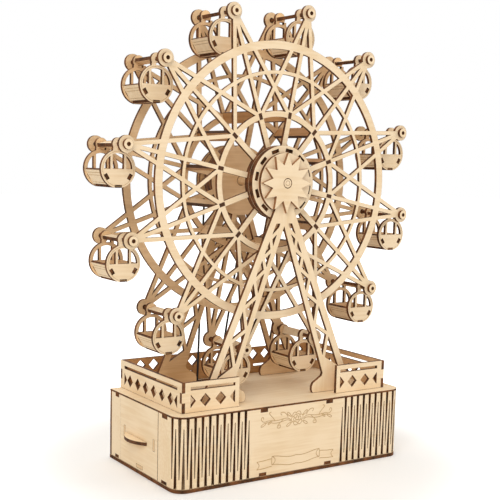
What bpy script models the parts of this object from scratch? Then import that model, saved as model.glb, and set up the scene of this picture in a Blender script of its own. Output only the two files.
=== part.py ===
"""Ferris wheel music box cut from thin plywood sheets and turned by a hand crank.

Sizes below are in millimetres. Each piece is drawn in millimetres and scaled to metres when it is made.
The origin is the middle of the underside, +Z is up and the front faces -Y.
"""

import math

import bmesh
import bpy
from mathutils import Matrix, Vector

MM = 0.001
MERGE = 0.0001

# Sheets and gaps between pieces.
PLY = 3.0
CABIN_PLY = 2.4
SEAT = 0.3
FIT = 0.15
RUN = 0.7

# Base box, set a little to the right of the wheel and to the front of it.
BASE_LENGTH = 244.0
BASE_DEPTH = 124.5
BASE_HEIGHT = 65.0
BASE_SHIFT = (4.0, -4.25)
CORNER_RADIUS = 12.0
CORNER_STEPS = 6
SLIT_COUNT = 22
SLIT_PITCH = 3.55
SLIT_WIDTH = 1.7
SLIT_BRIDGE = 8.5
SLIT_START = 51.0
TOP_TABS = ((-39.3, -31.8), (32.0, 39.5))
LEFT_TABS = ((-45.6, -36.4), (44.2, 51.2))
TAB_CLEARANCE = 0.2
TENON_OVERLAP = 1.0
CUT_PAST = 1.0

# Wheel.
CABIN_CLEARANCE = 5.4
PHASE = 18.7
SEATS = 12
STEP = 360.0 / SEATS
TIP_RADIUS = 150.0
TIP_DISC = 7.2
TIP_HOLE = 2.6
TIP_STEPS = 7
OUTER_RING = 118.0
OUTER_WIDTH = 7.0
MIDDLE_RING = 95.0
MIDDLE_WIDTH = 3.0
INNER_RING = 59.6
INNER_WIDTH = 5.0
BAR_WIDTH = 3.6
SPOKE_WIDTH = 5.0
RIM_DISC = 32.0
RIM_PLANE = 29.0
SPACER_WIDTH = 10.0
TENON_WIDTH = 5.2
HUB_RADIUS = 32.4
HUB_SLOT_RADIUS = 28.3
HUB_SLOT = (3.0, 7.5)
AXLE_RADIUS = 4.2
AXLE_PLAY = 0.3
AXLE_END = 1.5

# Cabins, measured from the pivot rod.
CABIN_DROP = 20.0
CABIN_RADIUS = 15.6
CABIN_WINDOW = 12.6
CABIN_WIDTH = 37.0
CABIN_STEPS = 12
EAR_RADIUS = 5.3
EAR_STEPS = 5
EAR_SPREAD = 130.0
NECK_SPREAD = 25.0
POST_PLACE = 6.1
POST_WIDTH = 2.2
PLANK_RADIUS = 15.0
PLANK_ANGLES = (184.0, 239.0)
PLANK_TENON = 1.0
FLOOR_HALF = 5.4
FLOOR_RISE = 0.6
ROD_RADIUS = 1.9
WASHER_RADIUS = 4.2
ROUND_STEPS = 6
BORE_STEPS = 12

# A-shaped frames. The lattice is given as shares of the way from the floor up to the axle,
# and the toe as places beside the middle and above the floor.
FRAME_HEAD = 24.5
HEAD_STEPS = 16
SPLIT_DROP = 37.5
SPLIT_HALF = 1.8
SPLIT_EDGE_DROP = 42.7
INNER_RAIL = 5.3
OUTER_RAIL = 7.0
BRACE_WIDTH = 3.2
LATTICE_TOP = 0.816
LATTICE = (0.783, 0.748, 0.697, 0.661, 0.604, 0.559, 0.485, 0.436, 0.334, 0.283, 0.165, 0.108)
FOOT_OUTER = 83.3
TOE = ((48.3, 17.7), (47.3, 15.0), (42.2, 11.8), (38.0, 9.3), (36.5, 6.3), (36.4, 3.2), (37.5, 0.0))
STAR_RADIUS = 26.0
STAR_NOTCH = 18.0
CAP_RADIUS = 26.0

# Fence.
FENCE_HEIGHT = 25.8
FENCE_LENGTH = 220.0
FENCE_DEPTH = 113.0
FENCE_SHIFT = (2.7, 1.5)
GATE_HALF = 53.0
FENCE_SLOT = 2.6
DIAMOND_WIDE = 10.6
DIAMOND_TALL = 11.3
END_DIAMOND = 10.0
SIDE_DIAMONDS = 6
SIDE_PITCH = 15.0
SIDE_REACH = 48.8
SIDE_ROWS = (9.0, 20.0)
FRONT_PITCH = 15.3
FRONT_MARGINS = (4.4, 8.6)
FRONT_ROWS = (9.7, 20.3)
BACK_DIAMONDS = 14
BACK_PITCH = 14.0
BACK_SLOTS = 6
BACK_SLOT = 14.0
BACK_SLOT_PITCH = 28.0
BACK_ROWS = (18.8, 7.7)

# Drawer in the left end.
DRAWER_SIDES = (-29.8, 40.5)
TRAY_WALLS = (-24.3, 33.7)
TRAY_END = -48.0
TRAY_FLOOR = 5.2
TRAY_TOP = 45.0
TRAY_TENON = (27.4, 37.5)
FLOOR_TENON = (-2.7, 9.0)
PULL_CHORD = 40.0
PULL_RISE = 8.5
PULL_CENTRE = 9.4
PULL_TONGUE = 20.0
PULL_HEIGHT = 30.5
PULL_STEPS = 8
DRAWER_GAP = 1.2
GUIDE_END = -45.0

# Belt drive and crank.
BELT_PLANE = 51.0
BELT_RADIUS = 1.0
WHEEL_BELT = 25.0
DRIVE_BELT = 10.0
PULLEY_WIDTH = 7.2
DRIVE_FLANGE = 13.0
DRIVE_WIDTH = 7.0
PULLEY_STEPS = 20
BELT_SLACK = 3.5
BELT_SLOT = (2.2, 1.4)
WHEEL_BENDS = 12
DRIVE_BENDS = 6
CRANK_X = -20.0
CRANK_Z = 40.0
SHAFT_RADIUS = 2.5
SHAFT_START = -17.0
WORM_RADIUS = 3.0
WORM_HALF = 8.0
CRANK_REACH = 28.0
CRANK_END = 6.0
KNOB_RADIUS = 5.5
KNOB_LENGTH = 14.0
KNOB_PIN = 1.6
KNOB_FOOT = 1.0
KNOB_WAIST = 1.5
KNOB_EDGE = 0.5
KNOB_SHOULDER = 3.0
KNOB_HEAD = 4.0

# Music movement.
DRUM_Z = 26.0
DRUM_RADIUS = 6.5
DRUM_ENDS = (-15.0, 12.0)
WORM_WHEEL = 10.0
WORM_WHEEL_WIDTH = 5.0
DRUM_PIVOT = 1.5
DRUM_NECK = 3.0
BED_ENDS = (-36.0, 21.0)
BED_SIDES = (-18.0, 26.0)
BED_THICKNESS = 3.0
UPRIGHT = 3.0
UPRIGHT_MARGIN = 2.0
UPRIGHT_HALF = 4.0
UPRIGHT_TOP = 4.0
SHAFT_UPRIGHT_HALF = 5.0
SHAFT_UPRIGHT_START = 13.0
COMB_ENDS = (-14.0, 11.0)
COMB_SIDES = (7.3, 24.0)
COMB_ROOT = 15.0
COMB_THICKNESS = 1.2
COMB_TEETH = 12
COMB_GAP = 0.5
COMB_STEP = 0.3
COMB_BACK = 2.0

# Rotations that stand a flat sheet up.
FLAT = (0.0, 0.0, 0.0)
FACING = (math.radians(90), 0.0, 0.0)
ENDWAYS = (math.radians(90), 0.0, math.radians(90))

# Sizes that follow from the ones above.
HALF_LENGTH = BASE_LENGTH / 2
HALF_DEPTH = BASE_DEPTH / 2
WALL_BOTTOM = PLY + SEAT
TOP_UNDERSIDE = BASE_HEIGHT - PLY
FLOOR_Z = BASE_HEIGHT + SEAT
HUB_HEIGHT = BASE_HEIGHT + CABIN_CLEARANCE + CABIN_RADIUS + CABIN_DROP + TIP_RADIUS
OUTER_SLOPE = FOOT_OUTER / (HUB_HEIGHT - FLOOR_Z)
SPLIT_HEIGHT = HUB_HEIGHT - SPLIT_DROP
SPLIT_EDGE = HUB_HEIGHT - SPLIT_EDGE_DROP
TOE_TOP = FLOOR_Z + TOE[0][1]
INNER_SLOPE = (TOE[0][0] - SPLIT_HALF) / (SPLIT_EDGE - TOE_TOP)
RIM_OUTSIDE = RIM_PLANE + PLY / 2
HUB_THICKNESS = 3 * PLY
HUB_PLANE = RIM_OUTSIDE + SEAT + HUB_THICKNESS / 2
FRAME_PLANE = RIM_OUTSIDE + SEAT + HUB_THICKNESS + RUN + PLY / 2
CAP_PLANE = FRAME_PLANE + PLY + SEAT
AXLE_ENDS = (-CAP_PLANE - PLY / 2, BELT_PLANE + PULLEY_WIDTH / 2 + AXLE_END)
BACK_FACE = BASE_SHIFT[1] + HALF_DEPTH
ARM_PLANE = BACK_FACE + RUN + PLY / 2
KNOB_START = ARM_PLANE + PLY / 2 + SEAT


def polar(radius, degrees, centre=(0.0, 0.0)):
    angle = math.radians(degrees)
    return (centre[0] + radius * math.cos(angle), centre[1] + radius * math.sin(angle))


def arc(radius, start, end, steps, centre=(0.0, 0.0)):
    turn = (end - start) / steps
    return [polar(radius, start + turn * index, centre) for index in range(steps + 1)]


def circle(radius, steps, centre=(0.0, 0.0)):
    return arc(radius, 0.0, 360.0, steps, centre)[:-1]


def rectangle(left, right, low, high):
    return [(left, low), (right, low), (right, high), (left, high)]


def diamond(x, y, width, height):
    return [(x - width / 2, y), (x, y - height / 2), (x + width / 2, y), (x, y + height / 2)]


def flipped(points):
    return [(-x, y) for x, y in reversed(points)]


def rotated(points, degrees):
    turn = Matrix.Rotation(math.radians(degrees), 2)
    return [tuple(turn @ Vector(point)) for point in points]


def crossing(point_a, along_a, point_b, along_b):
    """Point where two lines cross."""
    spread = along_a.x * along_b.y - along_a.y * along_b.x
    gap = point_b - point_a
    reach = (gap.x * along_b.y - gap.y * along_b.x) / spread
    return point_a + along_a * reach


def inset(points, widths):
    """Moves each side of an anticlockwise polygon inwards by its own width."""
    count = len(points)
    sides = []
    for index in range(count):
        start = Vector(points[index])
        along = (Vector(points[(index + 1) % count]) - start).normalized()
        inward = Vector((-along.y, along.x))
        sides.append((start + inward * widths[index], along))
    return [tuple(crossing(*sides[index - 1], *sides[index])) for index in range(count)]


def evaluated_mesh(obj):
    """Mesh of an object with its modifiers, and the object removed."""
    graph = bpy.context.evaluated_depsgraph_get()
    mesh = bpy.data.meshes.new_from_object(obj.evaluated_get(graph))
    bpy.data.objects.remove(obj)
    tidy = bmesh.new()
    tidy.from_mesh(mesh)
    bmesh.ops.remove_doubles(tidy, verts=tidy.verts, dist=MERGE)
    bmesh.ops.recalc_face_normals(tidy, faces=tidy.faces)
    tidy.to_mesh(mesh)
    tidy.free()
    return mesh


def scratch_object(data):
    obj = bpy.data.objects.new("scratch", data)
    bpy.context.scene.collection.objects.link(obj)
    return obj


def sheet(outline, holes, thickness):
    """Flat board with holes, centred on its own plane."""
    curve = bpy.data.curves.new("outline", "CURVE")
    curve.dimensions = "2D"
    curve.fill_mode = "BOTH"
    curve.extrude = thickness / 2
    for points in [outline, *holes]:
        spline = curve.splines.new("POLY")
        spline.points.add(len(points) - 1)
        for point, (x, y) in zip(spline.points, points):
            point.co = (x, y, 0.0, 1.0)
        spline.use_cyclic_u = True
    return evaluated_mesh(scratch_object(curve))


def lathe(profile, steps, closed=False):
    """Turned piece about Z from a profile that runs down its outer side."""
    mesh = bpy.data.meshes.new("profile")
    points = [(radius, 0.0, height) for radius, height in profile]
    edges = [(index, index + 1) for index in range(len(points) - 1)]
    if closed:
        edges.append((len(points) - 1, 0))
    mesh.from_pydata(points, edges, [])
    obj = scratch_object(mesh)
    screw = obj.modifiers.new("turn", "SCREW")
    screw.axis = "Z"
    screw.steps = steps
    screw.render_steps = steps
    screw.use_merge_vertices = True
    screw.merge_threshold = MERGE
    return smooth(evaluated_mesh(obj))


def smooth(mesh):
    mesh.shade_smooth()
    mesh.set_sharp_from_angle(angle=math.radians(50))
    return mesh


def blocks(boxes):
    """One mesh of separate boxes, each given by its low and high corners."""
    mesh = bpy.data.meshes.new("blocks")
    work = bmesh.new()
    for low, high in boxes:
        size = Vector(high) - Vector(low)
        middle = (Vector(high) + Vector(low)) / 2
        place = Matrix.Translation(middle) @ Matrix.Diagonal((*size, 1.0))
        bmesh.ops.create_cube(work, size=1.0, matrix=place)
    work.to_mesh(mesh)
    work.free()
    return mesh


def placed(mesh, place, turn=FLAT):
    """Mesh turned about the three axes in order and then moved."""
    matrix = Matrix.Translation(place)
    for angle, axis in ((turn[2], "Z"), (turn[1], "Y"), (turn[0], "X")):
        matrix = matrix @ Matrix.Rotation(angle, 4, axis)
    mesh.transform(matrix)
    return mesh


def joined(meshes):
    """Several meshes put side by side in one."""
    work = bmesh.new()
    for mesh in meshes:
        work.from_mesh(mesh)
    whole = bpy.data.meshes.new("joined")
    work.to_mesh(whole)
    work.free()
    return whole


def combined(mesh, other, operation):
    """Exact Boolean of two meshes."""
    obj = scratch_object(mesh)
    tool = scratch_object(other)
    boolean = obj.modifiers.new("combine", "BOOLEAN")
    boolean.operation = operation
    boolean.solver = "EXACT"
    boolean.object = tool
    mesh = evaluated_mesh(obj)
    bpy.data.objects.remove(tool)
    return mesh


def material(name, colour, roughness, metallic=0.0):
    made = bpy.data.materials.new(name)
    made.use_nodes = True
    shader = made.node_tree.nodes["Principled BSDF"]
    shader.inputs["Base Color"].default_value = (*colour, 1.0)
    shader.inputs["Roughness"].default_value = roughness
    shader.inputs["Metallic"].default_value = metallic
    made.diffuse_color = (*colour, 1.0)
    return made


def add_piece(name, mesh, look, place, turn=FLAT):
    """Object of the part, scaled from millimetres to metres."""
    mesh.name = name
    mesh.transform(Matrix.Diagonal((MM, MM, MM, 1.0)))
    mesh.materials.clear()
    mesh.materials.append(look)
    obj = bpy.data.objects.new(name, mesh)
    obj.location = Vector(place) * MM
    obj.rotation_euler = turn
    bpy.data.collections["ferris_wheel_music_box"].objects.link(obj)
    return obj


def add_cutter(name, mesh):
    mesh.transform(Matrix.Diagonal((MM, MM, MM, 1.0)))
    obj = bpy.data.objects.new(name, mesh)
    obj.hide_render = True
    obj.display_type = "WIRE"
    bpy.data.collections["cutters"].objects.link(obj)
    return obj


def cut(obj, cutter):
    boolean = obj.modifiers.new("cut", "BOOLEAN")
    boolean.operation = "DIFFERENCE"
    boolean.solver = "EXACT"
    boolean.object = cutter


def start_scene():
    for obj in list(bpy.data.objects):
        bpy.data.objects.remove(obj)
    for name in ("ferris_wheel_music_box", "cutters"):
        collection = bpy.data.collections.new(name)
        bpy.context.scene.collection.children.link(collection)


def make_materials():
    return {
        "basswood": material("basswood", (0.78, 0.60, 0.36), 0.62),
        "dark_ply": material("dark_ply", (0.40, 0.22, 0.09), 0.65),
        "birch_rod": material("birch_rod", (0.72, 0.54, 0.32), 0.55),
        "rubber": material("rubber", (0.02, 0.02, 0.02), 0.75),
        "steel": material("steel", (0.55, 0.56, 0.58), 0.3, 1.0),
        "brass": material("brass", (0.72, 0.53, 0.22), 0.32, 1.0),
    }


def diagonal():
    """Start and run of the bar that goes from a tip to the next node."""
    tip = Vector(polar(TIP_RADIUS, 0.0))
    return tip, Vector(polar(INNER_RING, STEP)) - tip


def ring_crossing(radius):
    """Polar place where a diagonal bar crosses a ring."""
    tip, run = diagonal()
    half = tip.dot(run)
    square = run.length_squared
    reach = (-half - math.sqrt(half * half - square * (tip.length_squared - radius * radius))) / square
    point = tip + run * reach
    return (radius, math.degrees(math.atan2(point.y, point.x)))


def bar_crossing():
    """Polar place where two neighbouring diagonal bars cross."""
    tip, run = diagonal()
    middle = Vector(polar(1.0, STEP / 2))
    point = crossing(tip, run, Vector((0.0, 0.0)), middle)
    return (point.length, STEP / 2)


def mirrored_hole(places, widths):
    """The same hole on the other side of a sector's middle."""
    turned = [(radius, STEP - angle) for radius, angle in reversed(places)]
    return turned, [*reversed(widths[:-1]), widths[-1]]


def sector_holes():
    """Holes of one sector of a rim, as polar corners and the half width of the bar on each side."""
    bar = BAR_WIDTH / 2
    spoke = SPOKE_WIDTH / 2
    outer = OUTER_WIDTH / 2
    middle = MIDDLE_WIDTH / 2
    inner = INNER_WIDTH / 2
    half = STEP / 2
    tip = (TIP_RADIUS, 0.0)
    outer_node = (OUTER_RING, 0.0)
    middle_node = (MIDDLE_RING, 0.0)
    node = (INNER_RING, 0.0)
    next_node = (INNER_RING, STEP)
    outer_cross = ring_crossing(OUTER_RING)
    middle_cross = ring_crossing(MIDDLE_RING)
    cross = bar_crossing()
    outer_far = (OUTER_RING, STEP - outer_cross[1])
    middle_far = (MIDDLE_RING, STEP - middle_cross[1])
    sided = [
        ([outer_node, tip, outer_cross], [bar, bar, outer]),
        ([middle_node, outer_node, outer_cross, middle_cross], [bar, outer, bar, middle]),
        ([node, middle_node, middle_cross, cross], [bar, middle, bar, bar]),
    ]
    central = [
        ([middle_cross, outer_cross, (OUTER_RING, half), outer_far, middle_far], [bar, outer, outer, bar, middle]),
        ([cross, middle_cross, middle_far], [bar, middle, bar]),
        ([node, cross, next_node, (INNER_RING, half)], [bar, bar, inner, inner]),
        (
            [(RIM_DISC, 0.0), node, (INNER_RING, half), next_node, (RIM_DISC, STEP), (RIM_DISC, half)],
            [spoke, inner, inner, spoke, 0.0, 0.0],
        ),
    ]
    return sided + [mirrored_hole(*hole) for hole in sided] + central


def rim_outline():
    """Outside of a rim: a round tip at each seat and the outer ring between the tips."""
    corners = []
    widths = []
    near = ring_crossing(OUTER_RING)[1]
    for seat in range(SEATS):
        start = seat * STEP
        corners.append(polar(TIP_RADIUS, start))
        for angle in (near, STEP / 2, STEP - near):
            corners.append(polar(OUTER_RING, start + angle))
        widths += [-BAR_WIDTH / 2, -OUTER_WIDTH / 2, -OUTER_WIDTH / 2, -BAR_WIDTH / 2]
    edge = inset(corners, widths)
    run = diagonal()[1]
    reach = math.degrees(math.atan2(run.y, run.x) - math.asin(BAR_WIDTH / 2 / TIP_DISC))
    outline = []
    for seat in range(SEATS):
        start = seat * STEP
        outline += arc(TIP_DISC, start - reach, start + reach, TIP_STEPS, polar(TIP_RADIUS, start))
        outline += edge[4 * seat + 1:4 * seat + 4]
    return outline


def make_rims(looks):
    holes = [circle(AXLE_RADIUS + FIT, BORE_STEPS)]
    slot_long = TENON_WIDTH / 2 + FIT
    slot_wide = PLY / 2 + FIT
    for seat in range(SEATS):
        start = seat * STEP
        for places, widths in sector_holes():
            corners = [polar(radius, angle + start) for radius, angle in places]
            holes.append(inset(corners, widths))
        slot = rectangle(INNER_RING - slot_long, INNER_RING + slot_long, -slot_wide, slot_wide)
        holes.append(rotated(slot, start))
        holes.append(circle(TIP_HOLE, 6, polar(TIP_RADIUS, start)))
    outline = rim_outline()
    for name, plane in (("front_rim", -RIM_PLANE), ("back_rim", RIM_PLANE)):
        mesh = sheet(rotated(outline, PHASE), [rotated(hole, PHASE) for hole in holes], PLY)
        add_piece(name, mesh, looks["basswood"], (0.0, plane, HUB_HEIGHT), FACING)


def make_hubs(looks):
    slot = rectangle(
        HUB_SLOT_RADIUS - HUB_SLOT[0] / 2,
        HUB_SLOT_RADIUS + HUB_SLOT[0] / 2,
        -HUB_SLOT[1] / 2,
        HUB_SLOT[1] / 2,
    )
    holes = [circle(AXLE_RADIUS + FIT, BORE_STEPS)]
    for seat in range(SEATS):
        holes.append(rotated(slot, PHASE + seat * STEP))
    for name, plane in (("front_hub", -HUB_PLANE), ("back_hub", HUB_PLANE)):
        mesh = sheet(circle(HUB_RADIUS, 24), holes, HUB_THICKNESS)
        add_piece(name, mesh, looks["basswood"], (0.0, plane, HUB_HEIGHT), FACING)


def make_axle(looks):
    start, end = AXLE_ENDS
    profile = [(0.0, -start), (AXLE_RADIUS, -start), (AXLE_RADIUS, -end), (0.0, -end)]
    add_piece("axle", lathe(profile, BORE_STEPS), looks["dark_ply"], (0.0, 0.0, HUB_HEIGHT), FACING)


def pulley(flange, belt_radius, width, bore):
    """Pulley turned about Z with a square groove in the middle third."""
    groove = belt_radius - BELT_RADIUS - SEAT
    cheek = width / 6
    profile = [
        (flange, width / 2),
        (flange, cheek),
        (groove, cheek),
        (groove, -cheek),
        (flange, -cheek),
        (flange, -width / 2),
        (bore, -width / 2),
        (bore, width / 2),
    ]
    return lathe(profile, PULLEY_STEPS, closed=True)


def make_pulleys(looks):
    wheel = pulley(HUB_RADIUS, WHEEL_BELT, PULLEY_WIDTH, AXLE_RADIUS + FIT)
    add_piece("wheel_pulley", wheel, looks["basswood"], (0.0, BELT_PLANE, HUB_HEIGHT), FACING)
    drive = pulley(DRIVE_FLANGE, DRIVE_BELT, DRIVE_WIDTH, SHAFT_RADIUS + FIT)
    add_piece("drive_pulley", drive, looks["basswood"], (CRANK_X, BELT_PLANE, CRANK_Z), FACING)


def make_spacers(looks):
    """Boards that hold the two rims apart, with a tenon through each rim."""
    shoulder = RIM_PLANE - PLY / 2 - SEAT
    wide = SPACER_WIDTH / 2
    tenon = TENON_WIDTH / 2
    half = [(wide, -shoulder), (wide, shoulder), (tenon, shoulder), (tenon, RIM_OUTSIDE)]
    other = [(-x, y) for x, y in reversed(half)]
    lower = [(-tenon, -RIM_OUTSIDE), (tenon, -RIM_OUTSIDE), (tenon, -shoulder)]
    outline = [*half, *other, (-tenon, -shoulder), *lower]
    for seat in range(SEATS):
        angle = PHASE + seat * STEP
        x, z = polar(INNER_RING, angle, (0.0, HUB_HEIGHT))
        turn = (0.0, -math.radians(angle), 0.0)
        add_piece(f"spacer_{seat + 1:02d}", sheet(outline, [], PLY), looks["basswood"], (x, 0.0, z), turn)


def cabin_plate():
    """Round end plate of a cabin with an ear round the pivot and three window openings."""
    centre = (0.0, -CABIN_DROP)
    outline = arc(EAR_RADIUS, 90.0 - EAR_SPREAD, 90.0 + EAR_SPREAD, EAR_STEPS)
    outline += arc(CABIN_RADIUS, 90.0 + NECK_SPREAD, 450.0 - NECK_SPREAD, CABIN_STEPS, centre)
    near = POST_PLACE - POST_WIDTH / 2
    far = POST_PLACE + POST_WIDTH / 2
    near_angle = math.degrees(math.acos(near / CABIN_WINDOW))
    far_angle = math.degrees(math.acos(far / CABIN_WINDOW))
    middle = [(-near, -CABIN_DROP), (near, -CABIN_DROP)]
    middle += arc(CABIN_WINDOW, near_angle, 180.0 - near_angle, 2, centre)
    side = [(far, -CABIN_DROP), *arc(CABIN_WINDOW, 0.0, far_angle, 2, centre)]
    return sheet(outline, [middle, side, flipped(side)], PLY)


def cabin_planks():
    """Floor and side boards of a cabin, each let into both end plates."""
    span = CABIN_WIDTH - 2 * PLY + 2 * PLANK_TENON
    centre = Vector((0.0, -CABIN_DROP))
    high = Vector(polar(PLANK_RADIUS, PLANK_ANGLES[0])) + centre
    low = Vector(polar(PLANK_RADIUS, PLANK_ANGLES[1])) + centre
    along = (low - high).normalized()
    inward = Vector((-along.y, along.x)) * CABIN_PLY
    side = [tuple(high), tuple(low), tuple(low + inward), tuple(high + inward)]
    floor = -CABIN_DROP - CABIN_RADIUS + FLOOR_RISE
    boards = [
        side,
        flipped(side),
        rectangle(-FLOOR_HALF, FLOOR_HALF, floor, floor + CABIN_PLY),
    ]
    return [sheet(board, [], span) for board in boards]


def pivot_rod():
    """Rod with a washer outside each rim."""
    inside = RIM_OUTSIDE + SEAT
    end = inside + PLY
    top = [(0.0, end), (WASHER_RADIUS, end), (WASHER_RADIUS, inside), (ROD_RADIUS, inside)]
    bottom = [(radius, -height) for radius, height in reversed(top)]
    return lathe(top + bottom, ROUND_STEPS)


def make_cabins(looks):
    plane = (CABIN_WIDTH - PLY) / 2
    plates = joined([placed(cabin_plate(), (0.0, 0.0, side * plane)) for side in (-1, 1)])
    cabin = combined(plates, joined(cabin_planks()), "UNION")
    cabin = combined(cabin, pivot_rod(), "UNION")
    cabin.transform(Matrix.Rotation(math.radians(90), 4, "X"))
    for seat in range(SEATS):
        x, z = polar(TIP_RADIUS, PHASE + seat * STEP, (0.0, HUB_HEIGHT))
        add_piece(f"cabin_{seat + 1:02d}", cabin.copy(), looks["basswood"], (x, 0.0, z))


def outer_edge(height):
    return OUTER_SLOPE * (HUB_HEIGHT - height)


def inner_edge(height):
    return SPLIT_HALF + INNER_SLOPE * (SPLIT_EDGE - height)


def frame_height(share):
    """Height at a share of the way from the floor up to the axle."""
    return FLOOR_Z + (HUB_HEIGHT - FLOOR_Z) * share


def leg_holes():
    """Lattice openings of the right leg between its two rails."""
    nodes = []
    for index, share in enumerate(LATTICE):
        height = frame_height(share)
        if index % 2:
            nodes.append((outer_edge(height) - OUTER_RAIL, height))
        else:
            nodes.append((inner_edge(height) + INNER_RAIL, height))
    brace = BRACE_WIDTH / 2
    top = frame_height(LATTICE_TOP)
    top_left = (inner_edge(top) + INNER_RAIL, top)
    top_right = (outer_edge(top) - OUTER_RAIL, top)
    holes = [inset([nodes[0], nodes[1], top_right, top_left], [brace, 0.0, 0.0, 0.0])]
    for index in range(len(nodes) - 2):
        first, second, third = nodes[index:index + 3]
        if index % 2:
            holes.append(inset([first, second, third], [brace, brace, 0.0]))
        else:
            holes.append(inset([first, third, second], [0.0, brace, brace]))
    return holes


def frame_outline():
    """Right half of the frame from the top of its head down to the split between the legs."""
    low_angle = -90.0 + math.degrees(math.atan(OUTER_SLOPE))
    head = arc(FRAME_HEAD, low_angle, 90.0, HEAD_STEPS, (0.0, HUB_HEIGHT))
    toe = [(x, FLOOR_Z + rise) for x, rise in reversed(TOE)]
    right = [*reversed(head), (FOOT_OUTER, FLOOR_Z), *toe, (SPLIT_HALF, SPLIT_EDGE), (0.0, SPLIT_HEIGHT)]
    return right[::-1]


def make_frames(looks):
    right = frame_outline()
    left = [(-x, y) for x, y in reversed(right)][1:-1]
    outline = right + left
    holes = leg_holes()
    holes += [flipped(hole) for hole in holes]
    holes.append(circle(AXLE_RADIUS + AXLE_PLAY, BORE_STEPS, (0.0, HUB_HEIGHT)))
    for name, plane in (("front_frame", -FRAME_PLANE), ("back_frame", FRAME_PLANE)):
        add_piece(name, sheet(outline, holes, PLY), looks["basswood"], (0.0, plane, 0.0), FACING)


def star_outline():
    """Star with one point for each cabin."""
    points = []
    for seat in range(SEATS):
        points.append(polar(STAR_RADIUS, seat * STEP))
        points.append(polar(STAR_NOTCH, (seat + 0.5) * STEP))
    return points


def make_caps(looks):
    """Star on the front head and plain disc on the back one."""
    bore = circle(AXLE_RADIUS + AXLE_PLAY, BORE_STEPS)
    for name, outline, plane in (
        ("front_cap", star_outline(), -CAP_PLANE),
        ("back_cap", circle(CAP_RADIUS, 24), CAP_PLANE),
    ):
        add_piece(name, sheet(outline, [bore], PLY), looks["basswood"], (0.0, plane, HUB_HEIGHT), FACING)


def on_base(x=0.0, y=0.0, z=0.0):
    """Place measured from the middle of the base."""
    return (x + BASE_SHIFT[0], y + BASE_SHIFT[1], z)


def make_base_bottom(looks):
    corner = (HALF_LENGTH - CORNER_RADIUS, CORNER_RADIUS - HALF_DEPTH)
    right = [*arc(CORNER_RADIUS, -90.0, 0.0, CORNER_STEPS, corner), (HALF_LENGTH, HALF_DEPTH)]
    mesh = sheet(right + flipped(right), [], PLY)
    add_piece("base_bottom", mesh, looks["dark_ply"], on_base(0.0, 0.0, PLY / 2))


def tab_outline():
    """Front edge of the top plate from left to right, with its tabs."""
    inner = PLY + SEAT - HALF_DEPTH
    edge = []
    for left, right in TOP_TABS:
        edge += [(left, inner), (left, -HALF_DEPTH), (right, -HALF_DEPTH), (right, inner)]
    return edge


def make_base_top(looks):
    """Top plate, set between the walls, with a slot for the belt."""
    side = HALF_LENGTH - PLY - SEAT
    back = HALF_DEPTH - PLY - SEAT
    radius = CORNER_RADIUS - PLY - SEAT
    corner = (side - radius, radius - back)
    right = [*arc(radius, -90.0, 0.0, CORNER_STEPS, corner), (side, back)]
    left = flipped(right)
    tabs = []
    for near, far in reversed(LEFT_TABS):
        tabs += [(-side, far), (-HALF_LENGTH, far), (-HALF_LENGTH, near), (-side, near)]
    outline = [*tab_outline(), *right, left[0], *tabs, *left[1:]]
    left_run, right_run = belt_runs(BASE_HEIGHT)
    ends = (left_run - BELT_SLACK - BASE_SHIFT[0], right_run + BELT_SLACK - BASE_SHIFT[0])
    plane = BELT_PLANE - BASE_SHIFT[1]
    slot = rectangle(*ends, plane - BELT_SLOT[0], plane + BELT_SLOT[1])
    mesh = sheet(outline, [slot], PLY)
    add_piece("base_top", mesh, looks["basswood"], on_base(0.0, 0.0, BASE_HEIGHT - PLY / 2))


def wall_place(distance):
    """Place and outward angle on the right half of the front wall, measured from its middle."""
    straight = HALF_LENGTH - CORNER_RADIUS
    if distance <= straight:
        return (distance, -HALF_DEPTH), -90.0
    angle = -90.0 + math.degrees((distance - straight) / CORNER_RADIUS)
    return polar(CORNER_RADIUS, angle, (straight, CORNER_RADIUS - HALF_DEPTH)), angle


def slit_cutters():
    """Wedges that make the bending slits, from the top and the bottom edge in turn."""
    wedges = []
    high = BASE_HEIGHT + CUT_PAST
    low = WALL_BOTTOM - CUT_PAST
    wide = SLIT_WIDTH / 2
    for index in range(SLIT_COUNT):
        (x, y), angle = wall_place(SLIT_START + SLIT_PITCH * index)
        if index % 2:
            wedge = [(-wide, high), (0.0, WALL_BOTTOM + SLIT_BRIDGE), (wide, high)]
        else:
            wedge = [(wide, low), (0.0, BASE_HEIGHT - SLIT_BRIDGE), (-wide, low)]
        for side in (1, -1):
            mesh = sheet(wedge, [], 3 * PLY)
            turn = (math.radians(90), 0.0, side * math.radians(angle + 90.0))
            wedges.append(placed(mesh, (side * x, y, 0.0), turn))
    return wedges


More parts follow.
